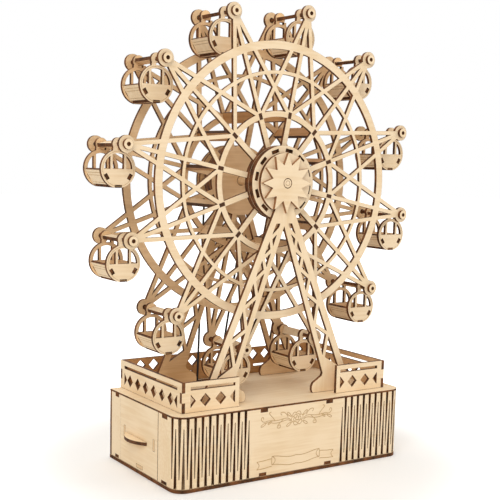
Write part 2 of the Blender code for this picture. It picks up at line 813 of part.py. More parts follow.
def make_base_wrap(looks):
    """One panel bent round both front corners, slit so that it can bend."""
    inner = CORNER_RADIUS - PLY
    straight = HALF_LENGTH - CORNER_RADIUS
    centre = (straight, CORNER_RADIUS - HALF_DEPTH)
    right_end = HALF_DEPTH - PLY - SEAT
    left_end = DRAWER_SIDES[0] - SEAT
    outside = [*arc(CORNER_RADIUS, -90.0, 0.0, CORNER_STEPS, centre), (HALF_LENGTH, right_end)]
    inside = [*arc(inner, -90.0, 0.0, CORNER_STEPS, centre), (HALF_LENGTH - PLY, right_end)]
    left_outside = flipped([*outside[:-1], (HALF_LENGTH, left_end)])
    left_inside = [(-x, y) for x, y in [*inside[:-1], (HALF_LENGTH - PLY, left_end)]]
    mesh = sheet(left_outside + outside + inside[::-1] + left_inside, [], BASE_HEIGHT - WALL_BOTTOM)
    placed(mesh, (0.0, 0.0, (BASE_HEIGHT + WALL_BOTTOM) / 2))
    notches = []
    for left, right in TOP_TABS:
        low = (left - TAB_CLEARANCE, -HALF_DEPTH - CUT_PAST, TOP_UNDERSIDE - TAB_CLEARANCE)
        high = (right + TAB_CLEARANCE, PLY + CUT_PAST - HALF_DEPTH, BASE_HEIGHT + CUT_PAST)
        notches.append((low, high))
    near, far = LEFT_TABS[0]
    low = (-HALF_LENGTH - CUT_PAST, near - TAB_CLEARANCE, TOP_UNDERSIDE - TAB_CLEARANCE)
    notches.append((low, (PLY + CUT_PAST - HALF_LENGTH, far + TAB_CLEARANCE, BASE_HEIGHT + CUT_PAST)))
    wall = add_piece("base_wrap", mesh, looks["basswood"], on_base())
    cutter = placed(joined([*slit_cutters(), blocks(notches)]), on_base())
    cut(wall, add_cutter("wall_cutter", cutter))


def make_back_walls(looks):
    height = (WALL_BOTTOM, BASE_HEIGHT)
    bore = circle(SHAFT_RADIUS + 2 * SEAT, BORE_STEPS, (CRANK_X - BASE_SHIFT[0], CRANK_Z))
    back = sheet(rectangle(-HALF_LENGTH, HALF_LENGTH, *height), [bore], PLY)
    add_piece("base_back", back, looks["basswood"], on_base(0.0, HALF_DEPTH - PLY / 2), FACING)
    near = DRAWER_SIDES[1] + SEAT
    far = HALF_DEPTH - PLY - SEAT
    notch = (LEFT_TABS[1][0] - TAB_CLEARANCE, LEFT_TABS[1][1] + TAB_CLEARANCE)
    shelf = TOP_UNDERSIDE - TAB_CLEARANCE
    top = [(far, BASE_HEIGHT), (notch[1], BASE_HEIGHT), (notch[1], shelf), (notch[0], shelf)]
    strip = [(near, WALL_BOTTOM), (far, WALL_BOTTOM), *top, (notch[0], BASE_HEIGHT), (near, BASE_HEIGHT)]
    place = on_base(PLY / 2 - HALF_LENGTH)
    add_piece("left_strip", sheet(strip, [], PLY), looks["basswood"], place, ENDWAYS)


def finger_heights():
    third = FENCE_HEIGHT / 3
    return FLOOR_Z + third, FLOOR_Z + 2 * third


def fence_slot(start, end, height):
    """Long thin opening."""
    return rectangle(start, end, height - FENCE_SLOT / 2, height + FENCE_SLOT / 2)


def diamond_row(count, pitch, height, middle=0.0):
    """Row of diamonds about the middle of a panel."""
    first = middle - pitch * (count - 1) / 2
    return [diamond(first + pitch * index, height, DIAMOND_WIDE, DIAMOND_TALL) for index in range(count)]


def half_diamonds(start, end, height):
    """Triangles that close a row of diamonds at its two ends."""
    low = height - DIAMOND_TALL / 2
    high = height + DIAMOND_TALL / 2
    left = [(start, low), (start + END_DIAMOND / 2, height), (start, high)]
    right = [(end, low), (end, high), (end - END_DIAMOND / 2, height)]
    return [left, right]


def make_side_fences(looks):
    """End panels of the fence, notched for the fingers of the front and back panels."""
    reach = FENCE_DEPTH / 2
    notch = reach - PLY - FIT
    low, high = finger_heights()
    low -= FIT
    high += FIT
    top = FLOOR_Z + FENCE_HEIGHT
    right = [(reach, FLOOR_Z), (reach, low), (notch, low), (notch, high), (reach, high), (reach, top)]
    outline = right + flipped(right)
    centre = FLOOR_Z + SIDE_ROWS[0]
    holes = diamond_row(SIDE_DIAMONDS, SIDE_PITCH, centre)
    holes += half_diamonds(-SIDE_REACH, SIDE_REACH, centre)
    holes.append(fence_slot(-SIDE_REACH, SIDE_REACH, FLOOR_Z + SIDE_ROWS[1]))
    for name, side in (("fence_left", -1), ("fence_right", 1)):
        place = (FENCE_SHIFT[0] + side * (FENCE_LENGTH - PLY) / 2, FENCE_SHIFT[1], 0.0)
        add_piece(name, sheet(outline, holes, PLY), looks["basswood"], place, ENDWAYS)


def finger_edge():
    """Right end of a long fence panel with its middle finger."""
    reach = FENCE_LENGTH / 2
    shoulder = reach - PLY - FIT
    low, high = finger_heights()
    top = FLOOR_Z + FENCE_HEIGHT
    return [(shoulder, FLOOR_Z), (shoulder, low), (reach, low), (reach, high), (shoulder, high), (shoulder, top)]


def make_front_fences(looks):
    """Two short front panels that leave the way in open."""
    top = FLOOR_Z + FENCE_HEIGHT
    outline = [*finger_edge(), (GATE_HALF, top), (GATE_HALF, FLOOR_Z)]
    centre = FLOOR_Z + FRONT_ROWS[0]
    start = GATE_HALF + FRONT_MARGINS[0]
    end = FENCE_LENGTH / 2 - FRONT_MARGINS[1]
    middle = (start + end) / 2
    holes = diamond_row(2, FRONT_PITCH, centre, middle)
    holes += half_diamonds(start, end, centre)
    holes.append(fence_slot(start, end, FLOOR_Z + FRONT_ROWS[1]))
    place = (FENCE_SHIFT[0], FENCE_SHIFT[1] + (PLY - FENCE_DEPTH) / 2, 0.0)
    add_piece("fence_front_right", sheet(outline, holes, PLY), looks["basswood"], place, FACING)
    left = sheet(flipped(outline), [flipped(hole) for hole in holes], PLY)
    add_piece("fence_front_left", left, looks["basswood"], place, FACING)


def make_back_fence(looks):
    edge = finger_edge()
    holes = diamond_row(BACK_DIAMONDS, BACK_PITCH, FLOOR_Z + BACK_ROWS[0])
    for index in range(BACK_SLOTS):
        left = BACK_SLOT_PITCH * (index - (BACK_SLOTS - 1) / 2) - BACK_SLOT / 2
        holes.append(fence_slot(left, left + BACK_SLOT, FLOOR_Z + BACK_ROWS[1]))
    mesh = sheet(edge + flipped(edge), holes, PLY)
    place = (FENCE_SHIFT[0], FENCE_SHIFT[1] + (FENCE_DEPTH - PLY) / 2, 0.0)
    add_piece("fence_back", mesh, looks["basswood"], place, FACING)


def tray_tenon_centres():
    return [TRAY_WALLS[0] + PLY / 2, TRAY_WALLS[1] - PLY / 2]


def make_drawer_front(looks):
    low = WALL_BOTTOM + SEAT
    high = BASE_HEIGHT - DRAWER_GAP
    outline = rectangle(*DRAWER_SIDES, low, high)
    holes = []
    for centre in tray_tenon_centres():
        reach = PLY / 2 + FIT
        holes.append(rectangle(centre - reach, centre + reach, TRAY_TENON[0] - FIT, TRAY_TENON[1] + FIT))
    floor = (TRAY_FLOOR - FIT, TRAY_FLOOR + PLY + FIT)
    holes.append(rectangle(FLOOR_TENON[0] - FIT, FLOOR_TENON[1] + FIT, *floor))
    tongue = PULL_TONGUE / 2 + FIT
    grip = PLY / 2 + FIT
    holes.append(rectangle(PULL_CENTRE - tongue, PULL_CENTRE + tongue, PULL_HEIGHT - grip, PULL_HEIGHT + grip))
    place = on_base(PLY / 2 - HALF_LENGTH)
    add_piece("drawer_front", sheet(outline, holes, PLY), looks["basswood"], place, ENDWAYS)


def make_drawer_tray(looks):
    """Open tray with tenons that pass through the drawer front."""
    start = PLY + SEAT - HALF_LENGTH
    outside = blocks([((start, TRAY_WALLS[0], TRAY_FLOOR), (TRAY_END, TRAY_WALLS[1], TRAY_TOP))])
    tenons = []
    for centre in tray_tenon_centres():
        low = (-HALF_LENGTH, centre - PLY / 2, TRAY_TENON[0])
        tenons.append((low, (start + TENON_OVERLAP, centre + PLY / 2, TRAY_TENON[1])))
    low = (-HALF_LENGTH, FLOOR_TENON[0], TRAY_FLOOR)
    tenons.append((low, (start + TENON_OVERLAP, FLOOR_TENON[1], TRAY_FLOOR + PLY)))
    whole = combined(outside, blocks(tenons), "UNION")
    tray = add_piece("drawer_tray", whole, looks["basswood"], on_base())
    low = (start + PLY, TRAY_WALLS[0] + PLY, TRAY_FLOOR + PLY)
    high = (TRAY_END - PLY, TRAY_WALLS[1] - PLY, TRAY_TOP + CUT_PAST)
    cut(tray, add_cutter("tray_cutter", placed(blocks([(low, high)]), on_base())))


def make_drawer_pull(looks):
    """Half-moon grip with a tongue through the drawer front."""
    chord = PULL_CHORD / 2
    radius = (chord * chord + PULL_RISE * PULL_RISE) / (2 * PULL_RISE)
    reach = math.degrees(math.asin(chord / radius))
    edge = -HALF_LENGTH - SEAT
    bow = arc(radius, 180.0 - reach, 180.0 + reach, PULL_STEPS, (edge + radius - PULL_RISE, PULL_CENTRE))
    tongue = PULL_TONGUE / 2
    depth = PLY - HALF_LENGTH
    root = [
        (edge, PULL_CENTRE - tongue),
        (depth, PULL_CENTRE - tongue),
        (depth, PULL_CENTRE + tongue),
        (edge, PULL_CENTRE + tongue),
    ]
    add_piece("drawer_pull", sheet(bow + root, [], PLY), looks["basswood"], on_base(0.0, 0.0, PULL_HEIGHT))


def make_drawer_guides(looks):
    """Upright boards inside the base that the drawer runs between."""
    start = PLY + SEAT - HALF_LENGTH
    board = rectangle(start, GUIDE_END, WALL_BOTTOM, TOP_UNDERSIDE - SEAT)
    front = TRAY_WALLS[0] - RUN - PLY / 2
    back = TRAY_WALLS[1] + RUN + PLY / 2
    for name, plane in (("drawer_guide_front", front), ("drawer_guide_back", back)):
        add_piece(name, sheet(board, [], PLY), looks["basswood"], on_base(0.0, plane), FACING)


def tangent_angle():
    """Angle of the right-hand run's touching point on both pulleys."""
    across = -CRANK_X
    rise = HUB_HEIGHT - CRANK_Z
    length = math.hypot(across, rise)
    lean = math.degrees(math.atan2(rise, across))
    return lean, math.degrees(math.acos((WHEEL_BELT - DRIVE_BELT) / length))


def belt_touches():
    """Start and end angles of the belt on the wheel pulley, right side first."""
    lean, spread = tangent_angle()
    return lean + 180.0 + spread - 360.0, lean + 180.0 - spread


def belt_runs(height):
    """Where the two straight runs of the belt cross a level, left first."""
    found = []
    for angle in belt_touches():
        x_high, z_high = polar(WHEEL_BELT, angle, (0.0, HUB_HEIGHT))
        x_low, z_low = polar(DRIVE_BELT, angle, (CRANK_X, CRANK_Z))
        share = (height - z_low) / (z_high - z_low)
        found.append(x_low + (x_high - x_low) * share)
    return sorted(found)


def belt_points():
    right, left = belt_touches()
    wheel_turn = (left - right) / WHEEL_BENDS
    drive_turn = (right + 360.0 - left) / DRIVE_BENDS
    points = []
    for steps, turn, start, radius, centre in (
        (WHEEL_BENDS, wheel_turn, right, WHEEL_BELT, (0.0, HUB_HEIGHT)),
        (DRIVE_BENDS, drive_turn, left, DRIVE_BELT, (CRANK_X, CRANK_Z)),
    ):
        wide = radius / math.cos(math.radians(turn / 2))
        points.append(polar(radius, start, centre))
        for index in range(steps):
            points.append(polar(wide, start + turn * (index + 0.5), centre))
        points.append(polar(radius, start + turn * steps, centre))
    return points


def make_belt(looks):
    """Round rubber belt over both pulleys."""
    curve = bpy.data.curves.new("belt", "CURVE")
    curve.dimensions = "3D"
    curve.bevel_depth = BELT_RADIUS
    curve.bevel_resolution = 1
    spline = curve.splines.new("POLY")
    points = belt_points()
    spline.points.add(len(points) - 1)
    for point, (x, z) in zip(spline.points, points):
        point.co = (x, 0.0, z, 1.0)
    spline.use_cyclic_u = True
    mesh = smooth(evaluated_mesh(scratch_object(curve)))
    add_piece("drive_belt", mesh, looks["rubber"], (0.0, BELT_PLANE, 0.0))


def make_crank(looks):
    """Shaft with a plain worm, arm and loose knob behind the back wall."""
    end = ARM_PLANE + PLY / 2
    profile = [
        (0.0, -SHAFT_START),
        (SHAFT_RADIUS, -SHAFT_START),
        (SHAFT_RADIUS, WORM_HALF),
        (WORM_RADIUS, WORM_HALF),
        (WORM_RADIUS, -WORM_HALF),
        (SHAFT_RADIUS, -WORM_HALF),
        (SHAFT_RADIUS, -end),
        (0.0, -end),
    ]
    shaft = lathe(profile, BORE_STEPS)
    add_piece("crank_shaft", shaft, looks["steel"], (CRANK_X, 0.0, CRANK_Z), FACING)
    tip = (CRANK_REACH, 0.0)
    outline = arc(CRANK_END, 90.0, 270.0, 8) + arc(CRANK_END, -90.0, 90.0, 8, tip)
    holes = [circle(SHAFT_RADIUS + FIT, BORE_STEPS), circle(KNOB_PIN + SEAT, 8, tip)]
    arm = sheet(outline, holes, PLY)
    add_piece("crank_arm", arm, looks["basswood"], (CRANK_X, ARM_PLANE, CRANK_Z), FACING)
    inside = ARM_PLANE - PLY / 2
    profile = [
        (0.0, -inside),
        (KNOB_PIN, -inside),
        (KNOB_PIN, -KNOB_START),
        (KNOB_RADIUS - KNOB_FOOT, -KNOB_START),
        (KNOB_RADIUS, -KNOB_START - KNOB_SHOULDER),
        (KNOB_RADIUS - KNOB_WAIST, KNOB_HEAD - KNOB_START - KNOB_LENGTH),
        (KNOB_RADIUS - KNOB_EDGE, KNOB_EDGE - KNOB_START - KNOB_LENGTH),
        (0.0, -KNOB_START - KNOB_LENGTH),
    ]
    place = (CRANK_X + CRANK_REACH, 0.0, CRANK_Z)
    add_piece("crank_knob", lathe(profile, BORE_STEPS), looks["birch_rod"], place, FACING)


def make_movement_bed(looks):
    """Metal bed with upright bearings for the drum and the worm shaft."""
    floor = WALL_BOTTOM
    top = floor + BED_THICKNESS
    bed = blocks([((BED_ENDS[0], BED_SIDES[0], floor), (BED_ENDS[1], BED_SIDES[1], top))])
    base = top - TENON_OVERLAP
    high = DRUM_Z + UPRIGHT_TOP
    outer = (BED_ENDS[0] + UPRIGHT_MARGIN, BED_ENDS[1] - UPRIGHT_MARGIN)
    uprights = [
        ((outer[0], -UPRIGHT_HALF, base), (outer[0] + UPRIGHT, UPRIGHT_HALF, high)),
        ((outer[1] - UPRIGHT, -UPRIGHT_HALF, base), (outer[1], UPRIGHT_HALF, high)),
    ]
    left = CRANK_X - SHAFT_UPRIGHT_HALF
    right = CRANK_X + SHAFT_UPRIGHT_HALF
    high = CRANK_Z + SHAFT_UPRIGHT_HALF
    for near in (-SHAFT_UPRIGHT_START - UPRIGHT, SHAFT_UPRIGHT_START):
        uprights.append(((left, near, base), (right, near + UPRIGHT, high)))
    low = (COMB_ENDS[0], COMB_ROOT + COMB_BACK, base)
    uprights.append((low, (COMB_ENDS[1], COMB_SIDES[1], DRUM_Z - COMB_THICKNESS / 2 - SEAT)))
    frame = combined(bed, blocks(uprights), "UNION")
    drum_bore = lathe(rod_profile(DRUM_PIVOT + SEAT, BED_ENDS[0], BED_ENDS[1]), 8)
    placed(drum_bore, (0.0, 0.0, DRUM_Z), (0.0, math.radians(90), 0.0))
    shaft_bore = lathe(rod_profile(SHAFT_RADIUS + SEAT, BED_SIDES[0], BED_SIDES[1]), BORE_STEPS)
    placed(shaft_bore, (CRANK_X, 0.0, CRANK_Z), FACING)
    bearing = add_piece("movement_bed", frame, looks["brass"], (0.0, 0.0, 0.0))
    cut(bearing, add_cutter("bearing_cutter", joined([drum_bore, shaft_bore])))


def rod_profile(radius, low, high):
    return [(0.0, high), (radius, high), (radius, low), (0.0, low)]


def make_movement_drum(looks):
    """Pinned drum and worm wheel on one pivot."""
    low = BED_ENDS[0] + UPRIGHT_MARGIN / 2
    high = BED_ENDS[1] - UPRIGHT_MARGIN / 2
    half = WORM_WHEEL_WIDTH / 2
    profile = [
        (0.0, high),
        (DRUM_PIVOT, high),
        (DRUM_PIVOT, DRUM_ENDS[1]),
        (DRUM_RADIUS, DRUM_ENDS[1]),
        (DRUM_RADIUS, DRUM_ENDS[0]),
        (DRUM_NECK, DRUM_ENDS[0]),
        (DRUM_NECK, CRANK_X + half),
        (WORM_WHEEL, CRANK_X + half),
        (WORM_WHEEL, CRANK_X - half),
        (DRUM_PIVOT, CRANK_X - half),
        (DRUM_PIVOT, low),
        (0.0, low),
    ]
    mesh = lathe(profile, 16)
    place = (0.0, 0.0, DRUM_Z)
    add_piece("movement_drum", mesh, looks["brass"], place, (0.0, math.radians(90), 0.0))


def make_movement_comb(looks):
    """Tuned comb with its teeth reaching for the drum."""
    left, right = COMB_ENDS
    near, far = COMB_SIDES
    pitch = (right - left) / COMB_TEETH
    edge = []
    for index in range(COMB_TEETH):
        start = left + pitch * index
        end = start + pitch - COMB_GAP
        root = COMB_ROOT - COMB_STEP * index
        edge += [(start, root), (start, near), (end, near), (end, root)]
    outline = [*edge[1:-1], (right, near + COMB_BACK), (right, far), (left, far)]
    mesh = sheet(outline, [], COMB_THICKNESS)
    add_piece("movement_comb", mesh, looks["steel"], (0.0, 0.0, DRUM_Z))


def main():
    start_scene()
    looks = make_materials()
    make_rims(looks)
    make_hubs(looks)
    make_axle(looks)
    make_pulleys(looks)
    make_spacers(looks)
    make_cabins(looks)
    make_frames(looks)
    make_caps(looks)
    make_base_bottom(looks)
    make_base_top(looks)
    make_base_wrap(looks)
    make_back_walls(looks)
    make_side_fences(looks)
    make_front_fences(looks)
    make_back_fence(looks)
    make_drawer_front(looks)
    make_drawer_tray(looks)
    make_drawer_pull(looks)
    make_drawer_guides(looks)
    make_belt(looks)
    make_crank(looks)
    make_movement_bed(looks)
    make_movement_drum(looks)
    make_movement_comb(looks)


main()
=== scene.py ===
"""Looks of the plywood ferris wheel music box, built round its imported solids.

Laid out as an add-on: sizes and colours are properties, each group of pieces has an operator.
"""

import math

import bpy
from mathutils import Matrix, Vector


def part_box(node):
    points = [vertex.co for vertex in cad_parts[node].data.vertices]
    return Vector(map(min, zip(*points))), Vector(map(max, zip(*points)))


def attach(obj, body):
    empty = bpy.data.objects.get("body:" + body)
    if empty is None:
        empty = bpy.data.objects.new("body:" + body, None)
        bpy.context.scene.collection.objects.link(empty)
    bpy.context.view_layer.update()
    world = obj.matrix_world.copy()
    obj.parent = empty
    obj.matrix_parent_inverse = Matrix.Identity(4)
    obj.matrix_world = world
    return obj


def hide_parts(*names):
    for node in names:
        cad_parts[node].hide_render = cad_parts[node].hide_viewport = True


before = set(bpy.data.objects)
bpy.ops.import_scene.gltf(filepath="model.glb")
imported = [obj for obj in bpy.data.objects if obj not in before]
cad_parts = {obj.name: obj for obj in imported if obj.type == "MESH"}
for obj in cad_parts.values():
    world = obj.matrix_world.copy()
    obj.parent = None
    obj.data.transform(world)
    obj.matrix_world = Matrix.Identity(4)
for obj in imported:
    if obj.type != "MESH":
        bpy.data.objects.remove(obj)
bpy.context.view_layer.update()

bl_info = {
    "name": "Plywood ferris wheel music box",
    "version": (1, 0, 0),
    "blender": (4, 5, 0),
    "location": "View3D > Sidebar > Ferris wheel",
    "description": "Boards, cabins and fittings of a plywood ferris wheel music box",
    "category": "Object",
}

BENCH_UP = (math.radians(90), 0.0, 0.0)
UP = (0.0, 0.0, 1.0)
DOWN = (0.0, 0.0, -1.0)
FORWARD = (0.0, -1.0, 0.0)
BACKWARD = (0.0, 1.0, 0.0)

# A face of a board counts as its front or back when it points this far that way.
FACE_SHARE = 0.8

# Grain, scorched patches, the burnt band beside an edge and the clouds of plain colours.
GRAIN_ALONG = 26.0
GRAIN_ACROSS = 420.0
GRAIN_CLOUDS = 28.0
GRAIN_SPAN = (0.38, 0.55)
SCORCH_SCALE = 160.0
SCORCH_SPAN = (0.35, 0.75)
RIM_BAND = 0.00045
BUMP_DEPTH = 0.0002
PLAIN_CLOUDS = 240.0

# Fine details of the wheel, in metres.
BORE_PLAY = 0.00015
CAP_PLAY = 0.0003
PLY_GAP = 0.0001
PULLEY_GAP = 0.00002
RIM_SLOT = (0.0055, 0.0033)
TIP_HOLE = 0.0023
SPOKE_OVERLAP = 0.002
HUB_SLOT = (0.003, 0.0075)
HUB_TENON = (0.0024, 0.0050)
HUB_TENON_SINK = 0.001
HUB_MIDDLE_STEP = 0.00025
HEAD_DISC = 0.0262
HEAD_PROUD = 0.00005
HEAD_WEDGE = 0.03
AXLE_END = 0.0038
AXLE_GROOVE = (0.0019, 0.0023, 0.0004)
BELT_GROOVE = 0.0237

# Fine details of a cabin, in metres and degrees.
CABIN_PLY = 0.003
NECK = ((0.0116, 0.0045, CABIN_PLY), (0.0010, -0.0052, 0.0))
NECK_OPENING = ((0.0048, 0.0020, 0.02), (0.0018, -0.0039, 0.0))
PLANK_RADIUS = 0.015
PLANK_ANGLES = (math.radians(184.0), math.radians(239.0))
PLANK_PLAY = 0.0002
PLANK_SLOT = 0.0050
PLANK_TAB = 0.0040
SLOT_PLAY = 0.0006
TAB_PLAY = 0.0004
PLANK_LINE = (0.0004, 0.0001)
PLANK_LINES = (-0.30, -0.12, 0.37)
FLOOR_SLOT = (0.0064, 0.0052)
FLOOR_TAB = (0.0048, 0.0022)
FLOOR_TAB_RISE = 0.0014
FLOOR_RISE = 0.0006
FLOOR_WIDE = 0.0108
TAB_SINK = 0.0008
LINE_HALF = 0.00012
PIVOT_END = (0.0029, 0.0027, 0.0610)
WASHER_PLACE = 0.0323
WASHER_BORE = 0.0017
WASHER_PLUG = 0.0315
PLUG_THICK = 0.0012

# How each cabin's pivot strip leans, in degrees, and how far the cabin has slid back along it.
STRIP_LEANS = (
    (8, 0.0), (14, 0.0), (13, -0.001), (15, 0.0015), (-15, 0.0025), (13, 0.0022),
    (8.5, 0.0018), (17, 0.0005), (20, 0.001), (74, 0.004), (-23, 0.0), (16, 0.0),
)

# Fine details of the base, in metres. Tabs are spans along a wall, from the middle of the box.
WALL_GAP = 0.0003
LID_ROUND = 0.0087
BELT_SLOT = (0.0390, 0.0036, 0.1)
BELT_SLOT_X = -0.0155
BELT_SLOT_SHIFT = 0.0004
MARK_DEEP = 0.0016
POCKET_PLAY = 0.0003
MARK_TOP = 0.0031
MARK_FOOT = 0.0030
FRONT_TABS = ((-0.0393, -0.0318), (0.0320, 0.0395))
LEFT_TABS = ((-0.0456, -0.0364),)
STRIP_TABS = ((0.0442, 0.0512),)
CRANK_BORE = 0.0031
SLIT_POINT = 0.2
STROKE_HALF = 0.00034
STROKE_FLAT = 0.3

# Rings of petals on the front wall: how many, how far they reach and where they start, in mm.
ROSETTE = ((6, 6.8, 4.2), (5, 4.5, 2.4), (3, 2.6, 0.8))
ROSETTE_MIDDLE = (0.0, 51.0)

# Stage: distances and glow of the floor, the sky, the lamps and the camera of the photo.
FLOOR_FADE = (0.15, 0.34)
FLOOR_GLOW = (0.10, 1.0)
SKY_STRENGTH = (0.48, 1.0)
SKY_TINTS = ((1.0, 0.95, 0.88), (1.0, 1.0, 1.0))
LAMP_TARGET = (0.0, 0.0, 0.2)
LAMPS = (
    ("key_lamp", (-1.25, -1.1, 1.4), 19.0, 1.2, (1.0, 0.98, 0.95)),
    ("fill_lamp", (1.3, -1.0, 0.9), 6.5, 1.4, (1.0, 0.98, 0.96)),
    ("top_lamp", (0.1, 0.3, 1.6), 8.0, 1.2, (1.0, 1.0, 1.0)),
)
CAMERA_PLACE = (-0.51291, -0.75841, 0.27428)
CAMERA_TURN = (0.58243, -0.14707, 0.024635)
CAMERA_LENS = 72.21
CAMERA_SHIFT = (0.01568, 0.119)


def length(name, description, default):
    return bpy.props.FloatProperty(
        name=name, description=description, default=default, precision=5, unit="LENGTH"
    )


def angle(name, description, degrees):
    return bpy.props.FloatProperty(
        name=name, description=description, default=math.radians(degrees), subtype="ANGLE"
    )


def colour(name, description, default):
    return bpy.props.FloatVectorProperty(
        name=name, description=description, default=default, size=3, subtype="COLOR", min=0, max=1
    )


class WheelSizes(bpy.types.PropertyGroup):
    """Sizes of the two rims and what holds them."""

    seats: bpy.props.IntProperty(name="Seats", description="Number of cabins", default=12)
    phase: angle("Phase", "Turn of the first seat from level", 18.7)
    hub_height: length("Hub height", "Height of the axle above the ground", 0.256)
    tip_radius: length("Tip radius", "From the axle to a cabin's pivot", 0.150)
    tip_disc: length("Tip disc", "Radius of the round end of the bars", 0.0072)
    outer_ring: length("Outer ring", "Middle radius of the widest ring", 0.118)
    outer_width: length("Outer ring width", "Width of the widest ring", 0.007)
    middle_ring: length("Middle ring", "Middle radius of the thin ring", 0.095)
    middle_width: length("Middle ring width", "Width of the thin ring", 0.003)
    inner_ring: length("Inner ring", "Middle radius of the ring with the slots", 0.0596)
    inner_width: length("Inner ring width", "Width of the ring with the slots", 0.005)
    bar_width: length("Bar width", "Width of the bars that end at the tips", 0.0036)
    spoke_width: length("Spoke width", "Width of the spokes inside the inner ring", 0.005)
    rim_disc: length("Rim disc", "Radius of the solid middle of a rim", 0.032)
    hub_radius: length("Hub radius", "Radius of the three-ply hub", 0.0324)
    hub_slot_radius: length("Hub slot radius", "From the axle to the middle of a hub slot", 0.0283)
    star_radius: length("Star radius", "From the axle to a point of the star", 0.026)
    star_notch: length("Star notch", "From the axle to a notch of the star", 0.0158)
    axle_radius: length("Axle radius", "Radius of the axle", 0.0042)
    ply: length("Ply", "Thickness of one sheet", 0.003)


class CabinSizes(bpy.types.PropertyGroup):
    """Sizes of one hanging cabin."""

    drop: length("Drop", "From the pivot to the middle of the round end plate", 0.020)
    radius: length("Radius", "Radius of the end plate", 0.0156)
    window: length("Window", "Radius of the window", 0.0126)
    line: length("Line", "Radius of the engraved line", 0.0141)
    ear: length("Ear", "Radius of the ear round the pivot", 0.0053)
    width: length("Width", "Outside width over both end plates", 0.035)
    post_place: length("Post place", "From the middle to a window post", 0.0061)
    post_width: length("Post width", "Width of a window post", 0.0022)
    plank: length("Plank", "Thickness of the floor and side boards", 0.0024)
    strip: length("Strip", "Width of the pivot strip", 0.0075)
    strip_thick: length("Strip thickness", "Thickness of the pivot strip", 0.003)
    washer: length("Washer", "Radius of the washer", 0.0042)


class BaseSizes(bpy.types.PropertyGroup):
    """Sizes of the base box."""

    middle_x: length("Middle across", "Middle of the box to the right of the axle", 0.004)
    middle_y: length("Middle in depth", "Middle of the box behind the wheel's plane", -0.00425)
    long: length("Length", "Outside length of the box", 0.244)
    deep: length("Depth", "Outside depth of the box", 0.1245)
    high: length("Height", "Height of the top face", 0.065)
    corner: length("Corner", "Radius of the two bent corners", 0.012)
    ply: length("Ply", "Thickness of the walls", 0.003)
    lid: length("Lid edge", "Height of the burnt line round the top", 0.0016)
    step_in: length("Step in", "How far the walls stand back from the lid's edge", 0.0002)
    slits: bpy.props.IntProperty(name="Slits", description="Bending slits on each side", default=22)
    slit_start: length("Slit start", "From the middle of the front to the first slit", 0.051)
    slit_pitch: length("Slit pitch", "From one slit to the next", 0.00355)
    slit_width: length("Slit width", "Width of a slit at its open end", 0.0027)
    slit_bridge: length("Slit bridge", "Wood left beyond the point of a slit", 0.0085)


class WoodLook(bpy.types.PropertyGroup):
    """Colours of the wood and the fittings."""

    pale: colour("Pale face", "Outer face of a sheet", (0.93, 0.75, 0.52))
    pale_grain: colour("Pale grain", "Grain on the outer face", (0.86, 0.66, 0.42))
    tan: colour("Tan face", "Inner face of a sheet", (0.83, 0.60, 0.36))
    tan_grain: colour("Tan grain", "Grain on the inner face", (0.72, 0.49, 0.27))
    # Painted shadow: these two colours stand for the shadow that falls on the inner face of the
    # back fence, the back faces of the hub plies and one face of each spacer.
    shade: colour("Shaded face", "Inner face of the fence and the hubs", (0.58, 0.32, 0.14))
    painted_shadow_grain: colour("Shaded grain", "Grain on the shaded faces", (0.46, 0.24, 0.095))
    burnt: colour("Burnt edge", "Edge burnt by the laser", (0.060, 0.024, 0.009))
    scorched: colour("Scorched edge", "Paler parts of a burnt edge", (0.25, 0.092, 0.030))
    # Painted shade on the right fence's inner face: darker than the tan and lighter than the
    # painted shadow.
    painted_half_shade: colour("Lit face", "Inner face of the right fence", (0.75, 0.50, 0.28))
    painted_half_shade_grain: colour("Lit grain", "Grain on the lit face", (0.66, 0.42, 0.22))
    tenon: colour("Tenon patches", "Paler parts of the spacers' burnt ends", (0.09, 0.036, 0.013))
    star: colour("Star edge", "Cut edge of the star on the front head", (0.34, 0.16, 0.065))
    brass: colour("Brass", "Bed and drum of the movement", (0.72, 0.50, 0.20))
    steel: colour("Steel", "Comb and crank shaft", (0.55, 0.56, 0.58))
    rubber: colour("Rubber", "Belt", (0.012, 0.012, 0.012))
    engraved: colour("Engraved line", "Line drawn by the laser", (0.60, 0.39, 0.18))


def set_mode(name):
    bpy.ops.object.mode_set(mode=name)


def select_mesh():
    bpy.ops.mesh.select_all(action="SELECT")


def clear_selection():
    if bpy.context.mode != "OBJECT":
        set_mode("OBJECT")
    bpy.ops.object.select_all(action="DESELECT")


def pick(*objs):
    clear_selection()
    for obj in objs:
        obj.select_set(True)
    bpy.context.view_layer.objects.active = objs[0]


def apply_place(obj):
    pick(obj)
    bpy.ops.object.transform_apply(location=True, rotation=True, scale=True)
    return obj


def apply_modifier(obj, modifier):
    pick(obj)
    bpy.ops.object.modifier_apply(modifier=modifier.name)


def duplicate(obj):
    """Copy with a mesh of its own."""
    made = obj.copy()
    made.data = obj.data.copy()
    bpy.context.scene.collection.objects.link(made)
    return made


def disc(radius, thick, at=(0.0, 0.0, 0.0), sides=64):
    """Round board lying flat on the bench."""
    clear_selection()
    bpy.ops.mesh.primitive_cylinder_add(vertices=sides, radius=radius, depth=thick, location=at)
    return apply_place(bpy.context.object)


def block(size, at, turn=0.0):
    """Rectangular board lying flat on the bench."""
    clear_selection()
    bpy.ops.mesh.primitive_cube_add(size=1.0, location=at, rotation=(0.0, 0.0, turn), scale=size)
    return apply_place(bpy.context.object)


def bar(start, end, width, thick):
    """Straight bar between two places on the bench."""
    run = Vector(end) - Vector(start)
    middle = (Vector(end) + Vector(start)) / 2
    return block((run.length, width, thick), (middle.x, middle.y, 0.0), math.atan2(run.y, run.x))


